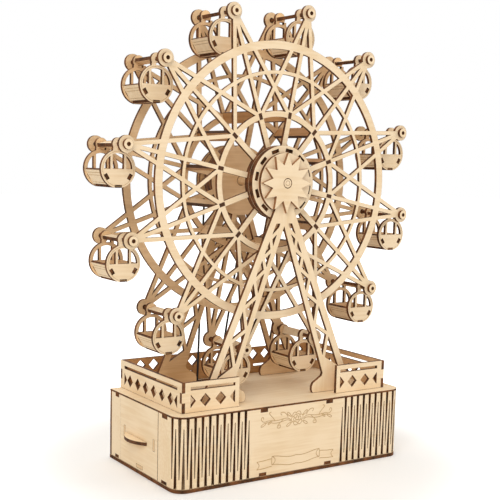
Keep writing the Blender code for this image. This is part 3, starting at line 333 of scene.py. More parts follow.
def select_edges(obj, wanted):
    """Selects the edges whose two corners pass a test, and leaves the mesh open for editing."""
    pick(obj)
    set_mode("EDIT")
    bpy.context.tool_settings.mesh_select_mode = (False, True, False)
    bpy.ops.mesh.select_all(action="DESELECT")
    set_mode("OBJECT")
    for edge in obj.data.edges:
        first, second = (obj.data.vertices[index].co for index in edge.vertices)
        edge.select = wanted(first, second)
    set_mode("EDIT")


def round_front(obj, radius):
    """Rounds the two upright edges at the front of a block."""
    front = min(corner.co.y for corner in obj.data.vertices)
    select_edges(obj, lambda a, b: max(a.y, b.y) < front + 0.00001 and abs(a.z - b.z) > 0.0001)
    bpy.ops.mesh.bevel(offset=radius, segments=16, affect="EDGES")
    set_mode("OBJECT")
    return obj


def open_circle(sides, radius, fill, level):
    """Circle left open for editing."""
    clear_selection()
    place = (0.0, 0.0, level)
    bpy.ops.mesh.primitive_circle_add(vertices=sides, radius=radius, fill_type=fill, location=place)
    set_mode("EDIT")


def draw_in_and_raise(share, thick):
    """Draws the selected corners in to a share of their radius and extrudes a board."""
    bpy.ops.transform.resize(value=(share, share, 1.0), center_override=(0.0, 0.0, 0.0))
    select_mesh()
    bpy.ops.mesh.extrude_region_move(TRANSFORM_OT_translate={"value": (0.0, 0.0, thick)})
    select_mesh()
    bpy.ops.mesh.normals_make_consistent(inside=False)
    set_mode("OBJECT")
    return apply_place(bpy.context.object)


def ring(inner, outer, thick, sides=144):
    """Flat ring, extruded from the edge of a circle."""
    open_circle(sides, outer, "NOTHING", -thick / 2)
    select_mesh()
    bpy.ops.mesh.extrude_region_move()
    return draw_in_and_raise(inner / outer, thick)


def join(pieces):
    pick(*pieces)
    bpy.ops.object.join()
    return bpy.context.object


def boolean(obj, tool, operation, self_overlap=False):
    """Adds or cuts away a tool, which is used up."""
    modifier = obj.modifiers.new("shape", "BOOLEAN")
    modifier.operation = operation
    modifier.solver = "EXACT"
    modifier.use_self = self_overlap
    modifier.object = tool
    apply_modifier(obj, modifier)
    bpy.data.objects.remove(tool)
    return obj


def cut(obj, *tools):
    for tool in tools:
        boolean(obj, tool, "DIFFERENCE")
    return obj


def polar(radius, turn, centre=(0.0, 0.0)):
    return (centre[0] + radius * math.cos(turn), centre[1] + radius * math.sin(turn))


def tidy_normals(obj):
    pick(obj)
    set_mode("EDIT")
    select_mesh()
    bpy.ops.mesh.remove_doubles(threshold=0.000001)
    bpy.ops.mesh.normals_make_consistent(inside=False)
    set_mode("OBJECT")
    return obj


def smooth(obj, degrees=35):
    pick(obj)
    bpy.ops.object.shade_smooth_by_angle(angle=math.radians(degrees))
    return obj


def give_slots(obj, *looks):
    obj.data.materials.clear()
    for look in looks:
        obj.data.materials.append(look)


def paint(obj, axis, front, back, edge):
    """Gives the two faces of a board and its edges their materials, by where each face points."""
    give_slots(obj, front, back, edge)
    axis = Vector(axis)
    for face in obj.data.polygons:
        share = face.normal.dot(axis)
        face.material_index = 0 if share > FACE_SHARE else 1 if share < -FACE_SHARE else 2
    return obj


def single(obj, look):
    give_slots(obj, look)
    return obj


def stand(obj, place):
    """Lifts a board from the bench so that its top faces the front, and puts it in its place."""
    obj.rotation_euler = BENCH_UP
    obj.location = place
    return apply_place(obj)


def finish(obj, name, body, slot, *nodes):
    """Names a piece, seats it on its body and hides the imported nodes it stands for."""
    obj.name = name
    obj.data.name = name
    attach(obj, body)
    if nodes:
        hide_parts(*nodes)


def middle_of(node):
    low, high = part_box(node)
    return (low + high) / 2


def new_material(name):
    made = bpy.data.materials.new(name)
    made.use_nodes = True
    return made, made.node_tree, made.node_tree.nodes["Principled BSDF"]


def set_inputs(node, values):
    for name, value in values.items():
        node.inputs[name].default_value = value


def feed(tree, node, values):
    """Sets or links the inputs of a node in their order."""
    for index, value in enumerate(values):
        if hasattr(value, "is_linked"):
            tree.links.new(value, node.inputs[index])
        else:
            node.inputs[index].default_value = value
    return node


def vector_math(tree, operation, *values):
    node = tree.nodes.new("ShaderNodeVectorMath")
    node.operation = operation
    return feed(tree, node, values)


def calculate(tree, operation, *values):
    node = tree.nodes.new("ShaderNodeMath")
    node.operation = operation
    return feed(tree, node, values).outputs["Value"]


def mix(tree, share, first, second):
    node = tree.nodes.new("ShaderNodeMix")
    node.data_type = "RGBA"
    tree.links.new(share, node.inputs["Factor"])
    tree.links.new(first, node.inputs["A"])
    tree.links.new(second, node.inputs["B"])
    return node.outputs["Result"]


def map_range(tree, value, start, end, low, high):
    node = tree.nodes.new("ShaderNodeMapRange")
    set_inputs(node, {"From Min": start, "From Max": end, "To Min": low, "To Max": high})
    tree.links.new(value, node.inputs["Value"])
    return node


def object_place(tree):
    return tree.nodes.new("ShaderNodeTexCoord").outputs["Object"]


def noise(tree, scale, detail=2.0, vector=None):
    """Noise in object space, or along a vector of its own."""
    node = tree.nodes.new("ShaderNodeTexNoise")
    set_inputs(node, {"Scale": scale, "Detail": detail})
    tree.links.new(vector or object_place(tree), node.inputs["Vector"])
    return node.outputs["Fac"]


def colour_ramp(tree, value, tones, span=(0.0, 1.0)):
    """Two tones blended by a value, over a span of it."""
    ramp = tree.nodes.new("ShaderNodeValToRGB")
    for element, place, tone in zip(ramp.color_ramp.elements, span, tones):
        element.position = place
        element.color = (*tone, 1.0)
    tree.links.new(value, ramp.inputs["Fac"])
    return ramp.outputs["Color"]


def grain_colour(tree, dark, light, along):
    """Two wood tones mixed by long streaks of noise in object space."""
    mapping = tree.nodes.new("ShaderNodeMapping")
    scale = [GRAIN_ALONG if along == axis else GRAIN_ACROSS for axis in "XYZ"]
    set_inputs(mapping, {"Scale": scale})
    tree.links.new(object_place(tree), mapping.inputs["Vector"])
    streaks = noise(tree, 1.0, 4.0, mapping.outputs["Vector"])
    clouds = calculate(tree, "MULTIPLY", noise(tree, GRAIN_CLOUDS), 0.5)
    blend = calculate(tree, "MULTIPLY_ADD", streaks, 0.5, clouds)
    return colour_ramp(tree, blend, (dark, light), GRAIN_SPAN), streaks


def edge_colour(tree, look, patches=None):
    """Burnt edge: dark, with paler scorched patches."""
    tones = (look.burnt, patches or look.scorched)
    return colour_ramp(tree, noise(tree, SCORCH_SCALE, 3.0), tones, SCORCH_SPAN)


def add_bump(tree, shader, height, strength):
    bump = tree.nodes.new("ShaderNodeBump")
    set_inputs(bump, {"Strength": strength, "Distance": BUMP_DEPTH})
    tree.links.new(height, bump.inputs["Height"])
    tree.links.new(bump.outputs["Normal"], shader.inputs["Normal"])


def coat(tree, shader, tone, roughness, shine=0.25):
    tree.links.new(tone, shader.inputs["Base Color"])
    set_inputs(shader, {"Roughness": roughness, "Specular IOR Level": shine})


def scorched_rim(tree, tone, look, scorch=0.9):
    """Darkens a face in a hair-thin band beside each sharp edge, where the laser passed."""
    bevel = tree.nodes.new("ShaderNodeBevel")
    bevel.samples = 6
    bevel.inputs["Radius"].default_value = RIM_BAND
    real = tree.nodes.new("ShaderNodeNewGeometry").outputs["Normal"]
    near = vector_math(tree, "DOT_PRODUCT", bevel.outputs["Normal"], real).outputs["Value"]
    share = map_range(tree, near, 0.99, 0.80, 0.0, scorch)
    return mix(tree, share.outputs["Result"], tone, edge_colour(tree, look))


def wood(name, dark, light, scorch=0.9):
    _, tree, shader = new_material(name)
    tone, height = grain_colour(tree, dark, light, "X")
    coat(tree, shader, scorched_rim(tree, tone, bpy.context.scene.ferris_look, scorch), 0.62)
    add_bump(tree, shader, height, 0.12)


def burnt_edge(name, look):
    _, tree, shader = new_material(name)
    coat(tree, shader, edge_colour(tree, look), 0.75, 0.2)


def plain(name, shade, roughness, metallic=0.0, grain=0.15):
    """Solid colour with a faint cloud of a darker tone."""
    made, tree, shader = new_material(name)
    darker = [value * (1.0 - grain) for value in shade]
    tone = colour_ramp(tree, noise(tree, PLAIN_CLOUDS), (darker, shade))
    tree.links.new(tone, shader.inputs["Base Color"])
    set_inputs(shader, {"Roughness": roughness, "Metallic": metallic})
    return made


def facing_share(tree, outward):
    """How far a surface of a CAD sheet points outwards, from -1 to 1."""
    place = tree.nodes.new("ShaderNodeTexCoord")
    if outward == "spoke":
        axle = (0.0, 0.0, bpy.context.scene.ferris_wheel.hub_height)
        hub = vector_math(tree, "SUBTRACT", place.outputs["Object"], axle).outputs["Vector"]
        flat = vector_math(tree, "MULTIPLY", hub, (1.0, 0.0, 1.0)).outputs["Vector"]
        radial = vector_math(tree, "NORMALIZE", flat).outputs["Vector"]
        outward = vector_math(tree, "CROSS_PRODUCT", radial, BACKWARD).outputs["Vector"]
    return vector_math(tree, "DOT_PRODUCT", place.outputs["Normal"], outward).outputs["Value"]


def sheet_wood(name, outward, along, front=None, back=None, patches=None):
    """Material of a CAD sheet: pale outside, tan inside and burnt where it was cut."""
    look = bpy.context.scene.ferris_look
    made, tree, shader = new_material(name)
    pale, height = grain_colour(tree, *(front or (look.pale_grain, look.pale)), along)
    tan = grain_colour(tree, *(back or (look.tan_grain, look.tan)), along)[0]
    share = facing_share(tree, outward)
    burnt = edge_colour(tree, look, patches)
    inside = mix(tree, calculate(tree, "LESS_THAN", share, -FACE_SHARE), burnt, tan)
    whole = mix(tree, calculate(tree, "GREATER_THAN", share, FACE_SHARE), inside, pale)
    coat(tree, shader, scorched_rim(tree, whole, look), 0.64)
    add_bump(tree, shader, height, 0.1)
    return made


def shades():
    """Front, back and edge of most boards."""
    return tuple(bpy.data.materials[name] for name in ("pale_wood", "tan_wood", "burnt_edge"))


def assign(made, *nodes):
    """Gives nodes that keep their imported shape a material."""
    for obj in (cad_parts[node] for node in nodes):
        if not obj.material_slots:
            obj.data.materials.append(made)
        for slot in obj.material_slots:
            slot.material = made


class PackedPaint(bpy.types.Operator):
    """Paint the boards, the crank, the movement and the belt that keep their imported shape."""

    bl_idname = "ferris.packed"
    bl_label = "Packed pieces"

    def execute(self, context):
        look = context.scene.ferris_look
        # Painted shadow on one face of each spacer and on the inner face of the back fence.
        painted_shadow = (look.painted_shadow_grain, look.shade)
        front = sheet_wood("front_sheet", FORWARD, "X")
        assign(front, "fence_front_left", "fence_front_right", "drawer_guide_front")
        assign(sheet_wood("upright_sheet", FORWARD, "Z"), "front_frame")
        back = sheet_wood("back_sheet", BACKWARD, "X")
        assign(back, "back_frame", "drawer_guide_back", "crank_arm", "drive_pulley")
        assign(sheet_wood("left_sheet", (-1.0, 0.0, 0.0), "Y"), "fence_left", "drawer_front")
        # Painted shade on the right fence's inner face.
        painted_half_shade = (look.painted_half_shade_grain, look.painted_half_shade)
        assign(sheet_wood("right_sheet", (1.0, 0.0, 0.0), "Y", back=painted_half_shade), "fence_right")
        assign(sheet_wood("top_sheet", UP, "X"), "drawer_pull")
        spacers = [f"spacer_{seat + 1:02d}" for seat in range(context.scene.ferris_wheel.seats)]
        assign(sheet_wood("spacer_sheet", "spoke", "Y", front=painted_shadow, patches=look.tenon), *spacers)
        assign(sheet_wood("back_fence_sheet", BACKWARD, "X", back=painted_shadow), "fence_back")
        assign(bpy.data.materials["tan_wood"], "drawer_tray")
        assign(bpy.data.materials["pale_wood"], "crank_knob")
        assign(plain("brass", look.brass, 0.32, 1.0), "movement_bed", "movement_drum")
        assign(plain("steel", look.steel, 0.3, 1.0), "movement_comb", "crank_shaft")
        assign(plain("black_rubber", look.rubber, 0.6, grain=0.4), "drive_belt")
        return {"FINISHED"}


def rim_blank(size):
    """Flat rim with its first tip on +X, still without holes."""
    ply = size.ply
    step = 2 * math.pi / size.seats
    outer, middle = (size.outer_ring, size.outer_width), (size.middle_ring, size.middle_width)
    bands = (outer, middle, (size.inner_ring, size.inner_width))
    pieces = [ring(radius - width / 2, radius + width / 2, ply) for radius, width in bands]
    for seat in range(size.seats):
        turn = seat * step
        tip = polar(size.tip_radius, turn)
        node = polar(size.inner_ring, turn)
        pieces.append(disc(size.tip_disc, ply, (*tip, 0.0), 32))
        pieces.append(bar(node, tip, size.bar_width, ply))
        pieces.append(bar(polar(size.rim_disc - SPOKE_OVERLAP, turn), node, size.spoke_width, ply))
        for side in (-1, 1):
            pieces.append(bar(tip, polar(size.inner_ring, turn + side * step), size.bar_width, ply))
    return boolean(disc(size.rim_disc, ply, sides=96), join(pieces), "UNION", self_overlap=True)


def rim_cutters(size):
    """Axle bore, slots for the spacers and holes for the pivots."""
    through = 4 * size.ply
    cutters = [disc(size.axle_radius + BORE_PLAY, through, sides=32)]
    for seat in range(size.seats):
        turn = seat * 2 * math.pi / size.seats
        cutters.append(block((*RIM_SLOT, through), (*polar(size.inner_ring, turn), 0.0), turn))
        cutters.append(disc(TIP_HOLE, through, (*polar(size.tip_radius, turn), 0.0), 24))
    return join(cutters)


class RimPair(bpy.types.Operator):
    """Model one rim from rings and bars and copy it for the other side."""

    bl_idname = "ferris.rims"
    bl_label = "Rims"

    def execute(self, context):
        size = context.scene.ferris_wheel
        rim = tidy_normals(cut(rim_blank(size), rim_cutters(size)))
        rim.rotation_euler = (0.0, 0.0, size.phase)
        apply_place(rim)
        other = duplicate(rim)
        pale, tan, burnt = shades()
        for obj, node, looks in ((rim, "front_rim", (pale, tan)), (other, "back_rim", (tan, pale))):
            paint(obj, UP, *looks, burnt)
            stand(obj, middle_of(node))
            finish(smooth(obj, 25), node.replace("rim", "wheel_rim"), "wheel", "basswood", node)
        return {"FINISHED"}


def seat_turn(size, seat):
    return size.phase + seat * 2 * math.pi / size.seats


class HubPair(bpy.types.Operator):
    """Model the three-ply hubs with their slots and the tenons in them."""

    bl_idname = "ferris.hubs"
    bl_label = "Hubs"

    def execute(self, context):
        size = context.scene.ferris_wheel
        pale, _, burnt = shades()
        # Painted shadow on the back faces of the hub plies, seen through the wheel.
        painted_shadow = bpy.data.materials["painted_shadow_wood"]
        turns = [seat_turn(size, seat) for seat in range(size.seats)]
        for node, side in (("front_hub", 1), ("back_hub", -1)):
            low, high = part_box(node)
            thick = (high.y - low.y) / 3
            plies = []
            for layer in range(3):
                radius = size.hub_radius - (HUB_MIDDLE_STEP if layer == 1 else 0.0)
                ply = disc(radius, thick - PLY_GAP, sides=96)
                cutters = [disc(size.axle_radius + BORE_PLAY, 1.0, sides=32)]
                for turn in turns:
                    spot = (*polar(size.hub_slot_radius, turn), 0.0)
                    cutters.append(block((*HUB_SLOT, 1.0), spot, turn))
                cut(ply, join(cutters))
                paint(ply, (0.0, 0.0, side), pale, painted_shadow, burnt)
                ply.location.z = side * thick * (1 - layer)
                plies.append(apply_place(ply))
            for turn in turns:
                spot = (*polar(size.hub_slot_radius, turn), -side * HUB_TENON_SINK)
                tenon = block((*HUB_TENON, high.y - low.y - 2 * HUB_TENON_SINK), spot, turn)
                plies.append(single(tenon, burnt))
            hub = stand(join(plies), middle_of(node))
            finish(smooth(hub, 25), node.replace("hub", "wheel_hub"), "wheel", "basswood", node)
        return {"FINISHED"}


def star_board(size):
    """Flat star with a point for every seat."""
    open_circle(2 * size.seats, size.star_radius, "NGON", -size.ply / 2)
    bpy.ops.mesh.select_all(action="DESELECT")
    set_mode("OBJECT")
    pitch = 360.0 / size.seats
    for corner in bpy.context.object.data.vertices:
        turn = math.degrees(math.atan2(corner.co.y, corner.co.x)) % pitch
        corner.select = abs(turn - pitch / 2) < 1.0
    set_mode("EDIT")
    return draw_in_and_raise(size.star_notch / size.star_radius, size.ply)


class HeadCaps(bpy.types.Operator):
    """Model the star and disc of the front head, the cap behind and the axle through them."""

    bl_idname = "ferris.caps"
    bl_label = "Head caps"

    def execute(self, context):
        size = context.scene.ferris_wheel
        pale, tan, burnt = shades()
        front = middle_of("front_cap")
        low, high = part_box("front_frame")
        star = star_board(size)
        head = disc(HEAD_DISC, high.y - low.y + 2 * HEAD_PROUD, sides=96)
        cut(head, disc(HEAD_WEDGE, 0.1, (0.0, -HEAD_WEDGE, 0.0), 3))
        back = disc(size.star_radius, size.ply, sides=96)
        for cap in (star, head, back):
            cut(cap, disc(size.axle_radius + CAP_PLAY, 1.0, sides=48))
        paint(star, UP, bpy.data.materials["star_wood"], tan, bpy.data.materials["star_edge"])
        finish(stand(star, front), "head_star", "base", "basswood", "front_cap")
        paint(head, UP, pale, tan, burnt)
        stand(head, (front.x, (low.y + high.y) / 2, front.z))
        finish(smooth(head, 25), "head_disc", "base", "basswood")
        paint(back, DOWN, pale, tan, burnt)
        stand(back, middle_of("back_cap"))
        finish(smooth(back, 25), "head_cap_back", "base", "basswood", "back_cap")
        low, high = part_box("axle")
        axle = disc(AXLE_END, high.y - low.y, sides=48)
        groove = ring(*AXLE_GROOVE, 48)
        groove.location.z = (high.y - low.y) / 2
        cut(axle, apply_place(groove))
        paint(axle, UP, pale, tan, tan)
        stand(axle, middle_of("axle"))
        finish(smooth(axle, 25), "wheel_axle", "wheel", "dark_ply", "axle")
        return {"FINISHED"}


def cabin_plate(size):
    """Round end plate with an ear, a neck with its opening and three windows."""
    centre = (0.0, -size.drop)
    plate = disc(size.radius, CABIN_PLY, (*centre, 0.0), 72)
    for part in (disc(size.ear, CABIN_PLY, sides=36), block(*NECK)):
        boolean(plate, part, "UNION")
    window = disc(size.window, 0.02, (*centre, 0.0), 64)
    cut(window, block((0.1, 0.05, 0.1), (0.0, -size.drop - 0.025, 0.0)))
    for side in (-1, 1):
        cut(window, block((size.post_width, 0.05, 0.1), (side * size.post_place, -size.drop, 0.0)))
    return cut(plate, window, block(*NECK_OPENING))


def chord(size, side):
    """Middle, inward direction, turn and length of a side board's section."""
    centre = Vector((0.0, -size.drop))
    high, low = (Vector(polar(PLANK_RADIUS, turn)) + centre for turn in PLANK_ANGLES)
    if side > 0:
        high.x, low.x = -high.x, -low.x
    run = low - high
    inward = (centre - (high + low) / 2).normalized()
    return (high + low) / 2, inward, math.atan2(run.y, run.x), run.length


def model_cabin(size, looks):
    """One cabin lying on its back plate, hung from the origin, without its pivot."""
    pale, tan, burnt, engraved = looks
    depth = size.width / 2
    reach = size.width - 2 * TAB_SINK
    inside = size.width - 2 * CABIN_PLY - PLANK_PLAY
    plate = cabin_plate(size)
    pieces, slots, tabs, boards = [], [], [], []
    for side in (-1, 1):
        middle, inward, turn, run = chord(size, side)
        spot = (*(middle + inward * (size.plank / 2)), 0.0)
        slots.append(block((PLANK_SLOT, size.plank + SLOT_PLAY, 0.1), spot, turn))
        tabs.append(single(block((PLANK_TAB, size.plank - TAB_PLAY, reach), spot, turn), burnt))
        board = block((run, size.plank, inside), spot, turn)
        boards.append(paint(board, (-inward.x, -inward.y, 0.0), pale, tan, burnt))
        for share in PLANK_LINES:
            spot = middle + Vector((math.cos(turn), math.sin(turn))) * run * share
            line = block((*PLANK_LINE, inside - 0.004), (*spot, 0.0), turn)
            boards.append(single(line, engraved))
    low = -size.drop - size.radius
    slots.append(block((*FLOOR_SLOT, 0.1), (0.0, low, 0.0)))
    tabs.append(single(block((*FLOOR_TAB, reach), (0.0, low + FLOOR_TAB_RISE, 0.0)), burnt))
    cut(plate, join(slots))
    for side in (-1, 1):
        copy = duplicate(plate)
        copy.location.z = side * (depth - CABIN_PLY / 2)
        apply_place(copy)
        paint(copy, (0.0, 0.0, side), pale, tan, burnt)
        pieces.append(copy)
        line = ring(size.line - LINE_HALF, size.line + LINE_HALF, 0.0001, 72)
        line.location = (0.0, -size.drop, side * depth)
        pieces.append(single(apply_place(line), engraved))
    bpy.data.objects.remove(plate)
    floor = block((FLOOR_WIDE, size.plank, inside), (0.0, low + FLOOR_RISE + size.plank / 2, 0.0))
    return join([*pieces, *tabs, *boards, paint(floor, FORWARD, tan, tan, burnt)])


def model_pivot(size, turn, slide, looks):
    """Flat pivot strip of a cabin, its dark ends in the rims and the two washers."""
    pale, tan, burnt = looks[:3]
    inside = size.width - 2 * CABIN_PLY + 2 * PLANK_PLAY
    strip = block((size.strip, size.strip_thick, inside), (0.0, 0.0, -slide), turn)
    pieces = [paint(strip, (-math.sin(turn), math.cos(turn), 0.0), pale, tan, burnt)]
    pieces.append(single(block(PIVOT_END, (0.0, 0.0, 0.0), turn), burnt))
    for side in (-1, 1):
        washer = disc(size.washer, CABIN_PLY, (0.0, 0.0, side * WASHER_PLACE), 40)
        cut(washer, disc(WASHER_BORE, 0.1, sides=24))
        pieces.append(paint(washer, (0.0, 0.0, side), pale, tan, burnt))
        plug = disc(WASHER_BORE, PLUG_THICK, (0.0, 0.0, side * WASHER_PLUG), 24)
        pieces.append(single(plug, burnt))
    return join(pieces)


class CabinSet(bpy.types.Operator):
    """Model one cabin, copy it to every seat and give each its pivot."""

    bl_idname = "ferris.cabins"
    bl_label = "Cabins"

    def execute(self, context):
        wheel, size = context.scene.ferris_wheel, context.scene.ferris_cabin
        looks = (*shades(), bpy.data.materials["engraved_line"])
        first = model_cabin(size, looks)
        first.rotation_euler = BENCH_UP
        apply_place(first)
        for seat, (lean, slide) in enumerate(STRIP_LEANS):
            x, z = polar(wheel.tip_radius, seat_turn(wheel, seat), (0.0, wheel.hub_height))
            cabin = duplicate(first)
            cabin.location = (x, slide, z)
            apply_place(cabin)
            pivot = stand(model_pivot(size, math.radians(lean), slide, looks), (x, 0.0, z))
            cabin = smooth(join([cabin, pivot]), 25)
            name = f"cabin_{seat + 1:02d}"
            finish(cabin, f"hanging_{name}", name, "basswood", name)
        bpy.data.objects.remove(first)
        return {"FINISHED"}


class WheelPulley(bpy.types.Operator):
    """Model the wheel's pulley, two discs with a smaller one between them for the belt."""

    bl_idname = "ferris.pulley"
    bl_label = "Wheel pulley"

    def execute(self, context):
        size = context.scene.ferris_wheel
        low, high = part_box("wheel_pulley")
        third = (high.y - low.y) / 3
        plies = []
        for layer, radius in ((-1, size.hub_radius), (0, BELT_GROOVE), (1, size.hub_radius)):
            ply = disc(radius, third - (0.0 if layer == 0 else PLY_GAP), sides=96)
            cut(ply, disc(size.axle_radius + BORE_PLAY, 1.0, sides=32))
            paint(ply, DOWN, *shades())
            ply.location.z = layer * (third + PULLEY_GAP)
            plies.append(apply_place(ply))
        pulley = stand(join(plies), middle_of("wheel_pulley"))
        finish(smooth(pulley, 25), "wheel_drive_pulley", "wheel", "basswood", "wheel_pulley")
        return {"FINISHED"}


def base_block(size, inset, back, low, high):
    """Upright block of the base's outline, drawn in by an inset and ending before the back."""
    long = size.long - 2 * inset
    deep = size.deep - inset - back
    middle = size.middle_y + (inset - back) / 2
    return block((long, deep, high - low), (size.middle_x, middle, (low + high) / 2))


def slit_wedge(size, low, high):
    """Long thin wedge, open at the bottom and pointed at the top."""
    tall = high - size.slit_bridge - low
    wedge = block((size.slit_width, 3 * size.ply, tall), (0.0, 0.0, low + tall / 2))
    select_edges(wedge, lambda a, b: min(a.z, b.z) > low + tall / 2)
    bpy.ops.transform.resize(value=(SLIT_POINT, 1.0, 1.0), center_override=(0.0, 0.0, high))
    set_mode("OBJECT")
    return wedge


def bend_place(size, distance):
    """Place and turn at a distance from the middle of the front, round its right corner."""
    straight = size.long / 2 - size.corner
    if distance <= straight:
        return (distance, -size.deep / 2), 0.0
    turn = (distance - straight) / size.corner
    return polar(size.corner, turn - math.pi / 2, (straight, size.corner - size.deep / 2)), turn


def slit_cutters(size, low, high):
    """Wedges for all slits of both corners, every second one upside down."""
    wedge = slit_wedge(size, low - 0.0005, high)
    cutters = []
    for index in range(size.slits):
        (x, y), turn = bend_place(size, size.slit_start + size.slit_pitch * index)
        flipped = index % 2
        for side in (-1, 1):
            cutter = duplicate(wedge)
            cutter.rotation_euler = (0.0, math.pi * flipped, side * turn)
            cutter.location = (size.middle_x + side * x, size.middle_y + y, (low + high) * flipped)
            cutters.append(apply_place(cutter))
    bpy.data.objects.remove(wedge)
    return join(cutters)


def tab_marks(size, spans, low, high, end=False):
    """Shallow pockets at the foot and top of a wall, where tabs of the bottom and lid show."""
    pockets = []
    for start, stop in spans:
        wide, along = stop - start, (start + stop) / 2
        shape, spot = (wide, MARK_DEEP), (size.middle_x + along, size.middle_y - size.deep / 2)
        if end:
            shape, spot = (MARK_DEEP, wide), (size.middle_x - size.long / 2, size.middle_y + along)
        for bottom, top in ((high - MARK_TOP, high + 0.001), (low - 0.001, low + MARK_FOOT)):
            pockets.append(block((*shape, top - bottom), (*spot, (bottom + top) / 2)))
    return pockets


def paint_wall(obj, size):
    """Pale outside, tan inside and burnt in cuts and pockets."""
    give_slots(obj, *shades())
    reach_x = size.long / 2 - size.corner
    for face in obj.data.polygons:
        spot = face.center - Vector((size.middle_x, size.middle_y, 0.0))
        near_x = max(-reach_x, min(reach_x, spot.x))
        near = Vector((near_x, max(size.corner - size.deep / 2, spot.y)))
        away = spot.xy - near
        if away.length < 0.0001:
            face.material_index = 2
            continue
        share = face.normal.xy.dot(away.normalized())
        front = share > FACE_SHARE and away.length > size.corner - size.step_in - POCKET_PLAY
        face.material_index = 0 if front else 1 if share < -FACE_SHARE else 2


class BaseBox(bpy.types.Operator):
    """Model the lid, the bottom, the slit and bent wall and the flat walls of the base."""

    bl_idname = "ferris.base"
    bl_label = "Base box"

    def execute(self, context):
        size = context.scene.ferris_base
        low = size.ply + WALL_GAP
        high = size.high - size.lid
        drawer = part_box("drawer_front")
        self.flat_boards(size, high)
        self.bent_wall(size, low, high, drawer[0].y - WALL_GAP)
        self.left_strip(size, low, high, drawer[1].y + WALL_GAP)
        self.back_wall(size, low, high)
        return {"FINISHED"}

    def flat_boards(self, size, high):
        pale, tan, burnt = shades()
        bottom = round_front(base_block(size, 0.0, 0.0, 0.0, size.ply), size.corner)
        paint(bottom, DOWN, tan, tan, burnt)
        finish(smooth(bottom), "base_floor", "base", "dark_ply", "base_bottom")
        lid = round_front(base_block(size, 0.0, 0.0, high + 0.0001, size.high), size.corner)
        inside = size.ply + WALL_GAP
        under = base_block(size, inside, inside, size.high - size.ply, high + 0.0002)
        boolean(lid, round_front(under, LID_ROUND), "UNION")
        belt_low, belt_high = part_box("drive_belt")
        plane = (belt_low.y + belt_high.y) / 2 - BELT_SLOT_SHIFT
        cut(lid, block(BELT_SLOT, (BELT_SLOT_X, plane, size.high)))
        paint(lid, UP, pale, tan, burnt)
        finish(smooth(lid), "base_lid", "base", "basswood", "base_top")

    def bent_wall(self, size, low, high, near):
        far = size.middle_y + size.deep / 2
        wall = base_block(size, size.step_in, size.ply + WALL_GAP, low, high)
        round_front(wall, size.corner - size.step_in)
        room = round_front(base_block(size, size.ply, -0.02, -0.1, 0.2), size.corner - size.ply)
        left = size.middle_x - size.long / 2
        opening = block((0.02, far - near, 0.2), (left, (far + near) / 2, 0.0))
        marks = tab_marks(size, FRONT_TABS, low, high)
        marks += tab_marks(size, LEFT_TABS, low, high, end=True)
        cut(wall, room, opening, slit_cutters(size, low, high), join(marks))
        paint_wall(wall, size)
        finish(smooth(wall, 30), "base_bent_wall", "base", "basswood", "base_wrap")

    def left_strip(self, size, low, high, start):
        stop = size.middle_y + size.deep / 2 - size.ply - WALL_GAP
        left = size.middle_x - size.long / 2
        strip_size = (size.ply - size.step_in, stop - start, high - low)
        strip_place = (left + (size.ply + size.step_in) / 2, (start + stop) / 2, (low + high) / 2)
        strip = block(strip_size, strip_place)
        cut(strip, join(tab_marks(size, STRIP_TABS, low, high, end=True)))
        paint_wall(strip, size)
        finish(strip, "base_left_strip", "base", "basswood", "left_strip")

    def back_wall(self, size, low, high):
        far = size.middle_y + size.deep / 2
        back_size = (size.long - 2 * size.step_in, size.ply - size.step_in, high - low)
        middle = far - (size.ply + size.step_in) / 2
        back = block(back_size, (size.middle_x, middle, (low + high) / 2))
        bore = disc(CRANK_BORE, 0.1, sides=48)
        bore.rotation_euler = BENCH_UP
        shaft = middle_of("crank_shaft")
        bore.location = (shaft.x, far, shaft.z)
        cut(back, apply_place(bore))
        paint(back, BACKWARD, *shades())
        finish(smooth(back), "base_back_wall", "base", "basswood", "base_back")


SCROLLS = (
    ((7, 50), (13, 57), (20, 46), (27, 54), (34, 51.5)),
    ((7, 49), (13, 54.5), (20, 44), (27, 51.5), (34, 50.5)),
    ((34, 51.5), (39.5, 51), (40.5, 57), (35.5, 57.5), (36, 53.8)),
    ((15, 52), (18, 48.5), (23, 47.5), (22.5, 43), (18.5, 44.5)),
    ((18.5, 44.5), (16.5, 46), (18.5, 48), (20, 47), (20, 45.8)),
    ((24, 51), (26, 56), (31, 57), (31.5, 60), (28, 59.5)),
    ((10, 53), (12, 58), (17, 60), (20, 57), (16.5, 55.5)),
    ((6, 53), (9, 59), (14, 58.5), (11, 54.5), (6, 53)),
    ((6, 48), (9, 43), (15, 43.5), (11, 47.5), (6, 48)),
    ((33, 50.5), (36, 46), (42, 46), (38.5, 50), (33, 50.5)),
    ((27, 52), (29, 48), (34, 47), (31, 51), (27, 52)),
    ((0, 17.5), (8, 16), (14, 17.5), (20, 20), (26, 19.5)),
    ((0, 10), (8, 8.5), (14, 10), (20, 12.5), (26, 12)),
    ((26, 19.5), (26.3, 17.5), (26.3, 15.8), (26.3, 14), (26, 12)),
    ((26, 19.5), (23, 18.5), (21.5, 16.5), (22, 13.5), (26, 12)),
    ((26.2, 17.5), (30, 18), (34, 16), (38, 17), (42, 16.5)),
    ((26.2, 10.5), (30, 11), (34, 9), (38, 10), (42, 9.5)),
    ((42, 16.5), (40, 14.8), (38, 13.2), (40, 11.4), (42, 9.5)),
)


def engraved_path(points, side=1):
    """Thin flat line through five control points on the bench, given in mm."""
    clear_selection()
    bpy.ops.curve.primitive_nurbs_path_add(location=(0.0, 0.0, 0.0))
    line = bpy.context.object
    for point, (x, y) in zip(line.data.splines[0].points, points):
        point.co = (side * x * 0.001, y * 0.001, 0.0, 1.0)
    line.data.resolution_u = 8
    line.data.bevel_depth = STROKE_HALF
    line.data.bevel_resolution = 0
    bpy.ops.object.convert(target="MESH")
    return bpy.context.object


